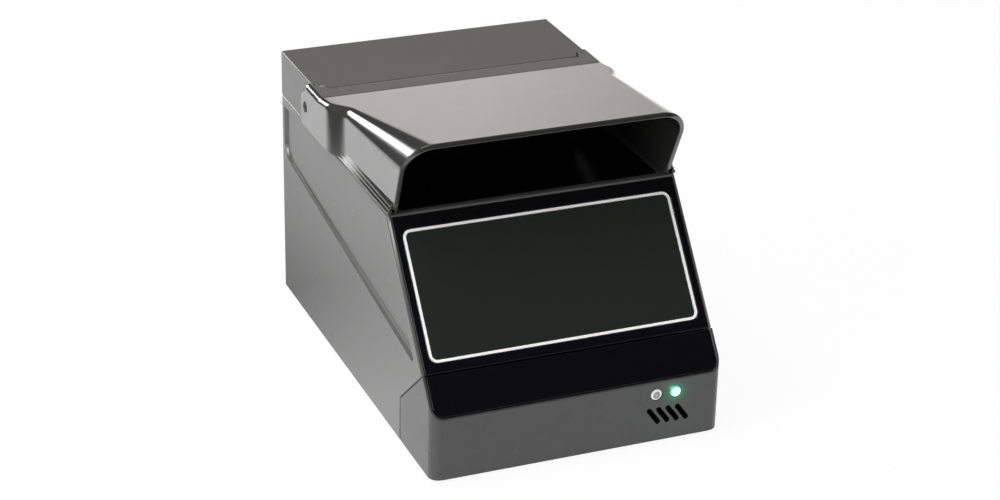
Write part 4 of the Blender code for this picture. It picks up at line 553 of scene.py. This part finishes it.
def grown(name, tree, sizes, shape, material):
    """An object that carries the tree, with its sizes set, its shape realized and its material on."""
    wire = Wire(tree)
    real = wire.node("GeometryNodeRealizeInstances", inputs={"Geometry": shape})
    coated = wire.node("GeometryNodeSetMaterial", inputs={"Geometry": real, "Material": material})
    end = tree.nodes.new("NodeGroupOutput")
    tree.links.new(coated.socket, end.inputs["Shape"])
    piece = bpy.data.objects.new(name, bpy.data.meshes.new(name))
    scene.collection.objects.link(piece)
    maker = piece.modifiers.new("shape", "NODES")
    maker.node_group = tree
    for socket in tree.interface.items_tree:
        if socket.in_out == "INPUT":
            maker[socket.identifier] = sizes[socket.name]
    return piece


def smoothed(mesh, degrees):
    """Shades a mesh smooth, apart from edges sharper than an angle."""
    for face in mesh.polygons:
        face.use_smooth = True
    mesh.set_sharp_from_angle(angle=math.radians(degrees))
    return mesh


def part_of(value, start, end):
    """How much of the way from start to end a value has gone, held between 0 and 1."""
    return risen(value, start, value.math("DIVIDE", 1.0, end - start))


def eased(share):
    """A smooth rise from 0 to 1."""
    return share * share * (3.0 - 2.0 * share)


hood_plastic = moulded("hood_plastic", HOOD_GREY, 0.17, grain=0.12, lacquer=1.0)
tree, wire, size = node_group("hood_sheet", HOOD_SIZES)
grid = {"Size X": 2.0, "Size Y": 1.0, "Vertices X": HOOD_COLUMNS, "Vertices Y": LIP_ROWS + TAIL_ROWS + 1}
sheet = wire.node("GeometryNodeMeshGrid", inputs=grid)
across, lengthwise, _ = axes(wire.node("GeometryNodeInputPosition"))
rear_share = lengthwise + 0.5
out = wire.math("ABSOLUTE", across)
side = wire.math("SIGN", across)

# Along the hood: the roof from the lip to the bend, then the ears, and the half width and roof height there
tail = part_of(rear_share, BEND_ROW, 1.0)
roofline = size["Lip Top"] + (size["Bend"] - size["Lip Top"]) * part_of(rear_share, 0.0, BEND_ROW)
along = roofline + (size["Ear Tail"] - size["Bend"]) * tail
step_rear = size["Step Front"] + size["Step Length"]
to_lip = 1.0 - part_of(along, size["Lip Top"], size["Step Front"])
step = eased(part_of(along, size["Step Front"], step_rear))
neck = (size["Lip Inset"] - size["Neck Inset"]) * eased(1.0 - to_lip)
half = size["Half Width"] - size["Lip Inset"] + neck
half = half + (size["Ear Proud"] + size["Neck Inset"]) * step
top = size["Roof"] + size["Lip Rise"] * (1.0 - part_of(along, size["Lip Top"], size["Bend"]))
growth = 1.0 - part_of(along, size["Lip Top"], step_rear)
radius = size["Rear Radius"] + (size["Lip Radius"] - size["Rear Radius"]) * growth

# Across the hood: the flat roof, the quarter turn at its edge, and the side down to the foot
flat_share = ROOF_SHARES[0] * part_of(out, 0.0, ROOF_COLUMNS[0])
flat_share = flat_share + ROOF_SHARES[1] * part_of(out, ROOF_COLUMNS[0], ROOF_COLUMNS[1])
flat_share = flat_share + ROOF_SHARES[2] * part_of(out, ROOF_COLUMNS[1], ROOF_COLUMNS[2])
turn = part_of(out, ROOF_COLUMNS[2], SIDE_COLUMNS) * (math.pi / 2)
drop = part_of(out, SIDE_COLUMNS, 1.0)
shoulder = top - radius
x = flat_share * (half - radius) + radius * wire.math("SINE", turn) - size["Draft"] * to_lip * drop
z = shoulder + radius * wire.math("COSINE", turn) - (shoulder - size["Foot"]) * drop
y = roofline + size["Lip Lean"] * to_lip * (top - z) / (top - size["Foot"])

# The rear end: round ears about the plungers, and a roof that stops at the tongue of the rear cover
rise = wire.math("MAXIMUM", z - size["Plunger Height"], 0.0)
arc = wire.math("SQRT", wire.math("MAXIMUM", size["Ear Round"] * size["Ear Round"] - rise * rise, 0.0))
ear_rear = wire.math("MAXIMUM", size["Plunger Depth"] + arc, size["Strip End"])
jog = part_of(out, ROOF_COLUMNS[0], ROOF_COLUMNS[1])
roof_rear = size["Tongue"] + (size["Strip End"] - size["Tongue"]) * jog
on_side = wire.math("GREATER_THAN", out, ROOF_COLUMNS[2] - COLUMN_LEEWAY)
rear = roof_rear + (ear_rear - roof_rear) * on_side
y = y + (rear - y) * tail
corners = {"X": x * side, "Y": y + FRONT_TO_MIDDLE, "Z": z + FLOOR_TO_FOOT}
spot = wire.node("ShaderNodeCombineXYZ", inputs=corners)
bent = wire.node("GeometryNodeSetPosition", inputs={"Geometry": sheet, "Position": spot})
hood = grown("hood_sheet", tree, HOOD_SIZES, bent, hood_plastic)
wall = hood.modifiers.new("wall", "SOLIDIFY")
wall.thickness = HOOD_WALL
wall.offset = -1
wall.use_even_offset = True

hole_side = HOOD_SIZES["Half Width"] + HOOD_SIZES["Ear Proud"]
hole_depth = HOOD_SIZES["Plunger Depth"] + FRONT_TO_MIDDLE
hole_height = HOOD_SIZES["Plunger Height"] + FLOOR_TO_FOOT
holes = bmesh.new()
for flank in LEFT_AND_RIGHT:
    hole_place = Matrix.Translation((flank * hole_side, hole_depth, hole_height))
    bmesh.ops.create_cone(
        holes,
        cap_ends=True,
        segments=HOLE_SIDES,
        radius1=HOLE_RADIUS,
        radius2=HOLE_RADIUS,
        depth=4 * HOOD_WALL,
        matrix=hole_place @ Matrix.Rotation(math.pi / 2, 4, "Y"),
    )
hole_mesh = bpy.data.meshes.new("plunger_holes")
holes.to_mesh(hole_mesh)
holes.free()
drill = bpy.data.objects.new("plunger_holes", hole_mesh)
scene.collection.objects.link(drill)
bore = hood.modifiers.new("bore", "BOOLEAN")
bore.object = drill
bore.solver = "EXACT"
rims = hood.modifiers.new("rims", "BEVEL")
rims.width = HOOD_RIM
rims.segments = EDGE_SEGMENTS
rims.limit_method = "ANGLE"
rims.angle_limit = HOOD_RIM_ANGLE
rims.use_clamp_overlap = False
hood_mesh = smoothed(applied(hood), 32)
bpy.data.objects.remove(drill)
place_piece("hood_shell", hood_mesh, hood_plastic, "light_hood", ("hood",))

flange = bmesh.new()
for flank in LEFT_AND_RIGHT:
    for layer in FLANGE_LEVELS:
        outside = FLANGE_OUTSIDE - FLANGE_STEP * (layer - 1)
        ends = sorted((flank * FLANGE_INSIDE, flank * outside))
        foot = HOOD_SIZES["Foot"] + FLOOR_TO_FOOT
        low = Vector((ends[0], FLANGE_FRONT + FRONT_TO_MIDDLE, foot))
        high = Vector((ends[1], FLANGE_REAR + FRONT_TO_MIDDLE, foot + FLANGE_LEVEL * layer))
        spread = Matrix.Translation((low + high) / 2) @ Matrix.Diagonal((*(high - low), 1))
        bar = bmesh.ops.create_cube(flange, matrix=spread)
        rim = list({edge for vert in bar["verts"] for edge in vert.link_edges})
        rounds = {"offset": FLANGE_ROUND, "segments": EDGE_SEGMENTS, "affect": "EDGES", "profile": 0.5}
        bmesh.ops.bevel(flange, geom=rim, **rounds)
flange_mesh = bpy.data.meshes.new("hood_flanges")
flange.to_mesh(flange_mesh)
flange.free()
place_piece("hood_flanges", smoothed(flange_mesh, 40), hood_plastic, "light_hood", ("hood",))

# Hood plungers
# Two slotted round plungers in the ears, turned from steel. Their inner ends press on the rear cover's sides
# and hold the hood in place.
PLUNGER_GREY = (0.07, 0.07, 0.072)
PLUNGER_EDGE = 0.00025
TOOL_MARKS = (400.0, 60.0, 60.0)


def metal(name, colour, roughness, streaks=TOOL_MARKS):
    """A bare metal with fine tool marks that run one way."""
    bare, wire, place = blank_material(name)
    drawn = wire.node("ShaderNodeMapping", inputs={"Vector": place, "Scale": streaks})
    marks = noise(drawn, 8.0, 4.0)
    tone = blend(wire, noise(place, 120.0, 2.0), shade_of(colour, 0.8), shade_of(colour))
    bump = wire.node("ShaderNodeBump", inputs={"Strength": 0.2, "Distance": 0.00004, "Height": marks})
    looks = {"Base Color": tone, "Metallic": 1.0, "Roughness": marks * 0.15 + roughness, "Normal": bump}
    end_in(wire, wire.node("ShaderNodeBsdfPrincipled", inputs=looks))
    return bare


dark_steel = metal("dark_steel", PLUNGER_GREY, 0.3)
for node in ("left_plunger", "right_plunger"):
    place_piece(node + "_pin", edged(node, PLUNGER_EDGE), dark_steel, "light_hood", (node,))

# Lamps
# Two round plastic lenses pressed into the front panel from behind: a clear one that is off, in grey rings
# with a light middle and a white rim under a faint painted glow, and a green one that is lit.
LENS_RADIUS = 0.0026
LENS_DOME = 0.0009
LENS_COLLAR = 0.001
LENS_STEPS = 8
LENS_SIDES = 40
LENS_MERGE = 0.000005
CLEAR_RINGS = [
    (0.0, (0.50, 0.52, 0.53, 1.0)),
    (0.3, (0.20, 0.21, 0.22, 1.0)),
    (0.66, (0.34, 0.35, 0.36, 1.0)),
    (0.84, (0.95, 0.95, 0.95, 1.0)),
]
GREEN_RINGS = [
    (0.0, (0.95, 1.0, 0.96, 1.0)),
    (0.7, (0.85, 1.0, 0.92, 1.0)),
    (0.9, (0.05, 0.85, 0.4, 1.0)),
    (1.0, (0.0, 0.35, 0.14, 1.0)),
]
HALO_GREEN = (0.1, 1.0, 0.45)
HALO_POWER = 0.002
HALO_RADIUS = 0.0012
HALO_AHEAD = 0.0015


def lens(node, name, material):
    """A domed lens with a collar behind, turned about its axis through the panel."""
    low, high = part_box(node)
    centre = (low + high) / 2
    collar_radius = (high.x - low.x) / 2
    back = high.y
    profile = [(0.0, low.y)]
    for stage in range(1, LENS_STEPS + 1):
        turn = math.pi / 2 * stage / LENS_STEPS
        profile.append((LENS_RADIUS * math.sin(turn), low.y + LENS_DOME * (1 - math.cos(turn))))
    profile += [(LENS_RADIUS, back - LENS_COLLAR), (collar_radius, back - LENS_COLLAR)]
    profile += [(collar_radius, back), (0.0, back)]
    dome = bmesh.new()
    verts = [dome.verts.new((0.0, along, out)) for out, along in profile]
    edges = [dome.edges.new(pair) for pair in zip(verts, verts[1:])]
    turned = {"axis": (0, 1, 0), "cent": (0, 0, 0), "angle": 2 * math.pi, "steps": LENS_SIDES}
    bmesh.ops.spin(dome, geom=verts + edges, use_merge=True, **turned)
    bmesh.ops.remove_doubles(dome, verts=dome.verts, dist=LENS_MERGE)
    bmesh.ops.recalc_face_normals(dome, faces=dome.faces)
    bmesh.ops.translate(dome, verts=dome.verts, vec=(centre.x, 0.0, centre.z))
    mesh = bpy.data.meshes.new(name)
    dome.to_mesh(mesh)
    dome.free()
    place_piece(name, smoothed(mesh, 40), material, "reader", (node,))


def lamp_face(name, node, rings, strength):
    """A lens whose colour and glow change from its middle to its rim."""
    low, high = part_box(node)
    centre = (low + high) / 2
    glass, wire, place = blank_material(name)
    axis = (centre.x, 0.0, centre.z)
    away = wire.node("ShaderNodeVectorMath", {"operation": "SUBTRACT"}, {0: place, 1: axis})
    flat = wire.node("ShaderNodeVectorMath", {"operation": "MULTIPLY"}, {0: away, 1: (1.0, 0.0, 1.0)})
    reach = wire.node("ShaderNodeVectorMath", {"operation": "LENGTH"}, {0: flat}, "Value")
    ring = wire.node("ShaderNodeValToRGB", {"stops": rings}, {0: reach / LENS_RADIUS})
    looks = {"Base Color": ring, "Emission Color": ring, "Emission Strength": strength, "Roughness": 0.12}
    end_in(wire, wire.node("ShaderNodeBsdfPrincipled", inputs=looks))
    return glass


# The clear lens is off: its emission is a painted glow in its ring colours.
clear_painted_glow_face = lamp_face("clear_lens", "ready_lamp", CLEAR_RINGS, 0.2)
green_face = lamp_face("green_lens", "status_lamp", GREEN_RINGS, 1.2)
lens("ready_lamp", "ready_lens", clear_painted_glow_face)
lens("status_lamp", "status_lens", green_face)
status_low, status_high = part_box("status_lamp")
status_middle = (status_low + status_high) / 2
halo = bpy.data.lights.new("status_halo", "POINT")
halo.color = HALO_GREEN
halo.energy = HALO_POWER
halo.specular_factor = 0.0
halo.shadow_soft_size = HALO_RADIUS
halo_holder = bpy.data.objects.new("status_halo", halo)
scene.collection.objects.link(halo_holder)
halo_holder.location = (status_middle.x, status_low.y - HALO_AHEAD, status_middle.z)

# Underside
# A flat base plate with cooling slots, held by six countersunk screws, on four cupped rubber feet.
# The plate is a duller black plastic than the front, and the screws are zinc-plated steel.
BASE_EDGE = 0.0003
FOOT_EDGE = 0.0004
rubber = moulded("foot_rubber", (0.018, 0.018, 0.018), 0.85, grain=0.6, grain_scale=1400.0)
base_plastic = moulded("base_plastic", (0.040, 0.040, 0.040), 0.55, grain=0.4)
steel = metal("zinc_steel", (0.48, 0.48, 0.47), 0.28)


def coat(finish, *nodes):
    """Gives nodes that keep their own solids a finish."""
    for node in nodes:
        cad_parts[node].data.materials.clear()
        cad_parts[node].data.materials.append(finish)


base_mesh = edged("base_plate", BASE_EDGE)
place_piece("base_plate_shell", base_mesh, base_plastic, "reader", ("base_plate",))
for number in range(1, 5):
    node = f"rubber_foot_{number}"
    place_piece(node + "_pad", edged(node, FOOT_EDGE), rubber, "reader", (node,))
coat(steel, *(f"base_screw_{number}" for number in range(1, 7)))

# Sockets
# A square data socket in a plated steel shell and a round power socket in black plastic, soldered to the main
# board and set in openings of the rear wall.
SOCKET_EDGE = 0.0002
socket_black = moulded("socket_black", (0.015, 0.015, 0.016), 0.5, grain=0.2)
for node, skin, slot in (
    ("usb_socket", steel, "steel"),
    ("power_socket", socket_black, "black_plastic"),
):
    place_piece(node + "_shell", edged(node, SOCKET_EDGE), skin, "reader", (node,))

# Inner works
# What the housing holds: the blackened light shaft with its mirror and lamps, the camera in the tower, the
# boards with their parts, and the flat cables between them.
LACQUER_GREEN = (0.010, 0.075, 0.030, 1.0)
TRACK_GREEN = (0.022, 0.135, 0.055, 1.0)
PAD_GOLD = (0.55, 0.42, 0.16, 1.0)
FOAM_BLACK = (0.004, 0.004, 0.004)
FOAM_IOR = 1.08
EVEN_MARKS = (5.0, 5.0, 5.0)


def board(name):
    """A circuit board: green lacquer over copper tracks, with gold pads."""
    lacquer, wire, place = blank_material(name)
    square_cells = {"distance": "MANHATTAN", "feature": "F1"}
    cells = {"Vector": place, "Scale": 190.0, "Randomness": 0.55}
    tracks = wire.node("ShaderNodeTexVoronoi", square_cells, cells)
    line_stops = [(0.30, LACQUER_GREEN), (0.34, TRACK_GREEN), (0.62, LACQUER_GREEN)]
    lines = wire.node("ShaderNodeValToRGB", {"stops": line_stops}, {0: tracks})
    pads = wire.node("ShaderNodeTexVoronoi", inputs={"Vector": place, "Scale": 330.0, "Randomness": 0.3})
    gold = wire.node("ShaderNodeValToRGB", {"stops": [(0.10, WHITE), (0.14, BLACK)]}, {0: pads})
    tone = blend(wire, gold * 0.8, lines, PAD_GOLD)
    looks = {"Base Color": tone, "Roughness": 0.32, "Metallic": gold * 0.7}
    end_in(wire, wire.node("ShaderNodeBsdfPrincipled", inputs=looks))
    return lacquer


matt_black = moulded("matt_black", (0.012, 0.012, 0.012), 0.85, grain=0.5)
lens_black = moulded("lens_black", (0.02, 0.02, 0.02), 0.4, grain=0.1)
green_board = board("green_board")
silvered = metal("silvered_glass", (0.9, 0.9, 0.9), 0.01, EVEN_MARKS)
bare_aluminium = metal("bare_aluminium", (0.6, 0.6, 0.62), 0.25)
milky = moulded("milky_diffuser", (0.75, 0.75, 0.73), 0.5, grain=0.3)
coated_lens = polished("coated_lens", (0.02, 0.015, 0.04), 0.02)
cable_skin = moulded("cable_skin", (0.34, 0.34, 0.35), 0.5, grain=0.3)
black_foam = moulded("black_foam", FOAM_BLACK, 1.0, grain=1.0, grain_scale=900.0, ior=FOAM_IOR)
black_paper = moulded("black_paper", FOAM_BLACK, 1.0, grain=1.0, grain_scale=700.0, ior=FOAM_IOR)
coat(matt_black, "light_box", "mirror_carrier")
coat(lens_black, "lens_holder", "lens_barrel")
coat(silvered, "fold_mirror")
coat(coated_lens, "camera_lens")
coat(green_board, "camera_board", "left_light_bar", "right_light_bar", "uv_light_bar")
coat(green_board, "antenna_board", "chip_reader_board", "main_board", "lamp_board")
coat(milky, "left_diffuser", "right_diffuser")
coat(bare_aluminium, "heat_sink", "camera_bracket")
coat(steel, *(f"board_screw_{number}" for number in range(1, 5)))
coat(black_paper, "speaker")
coat(black_foam, "speaker_gasket")
coat(cable_skin, "camera_cable", "front_cable")
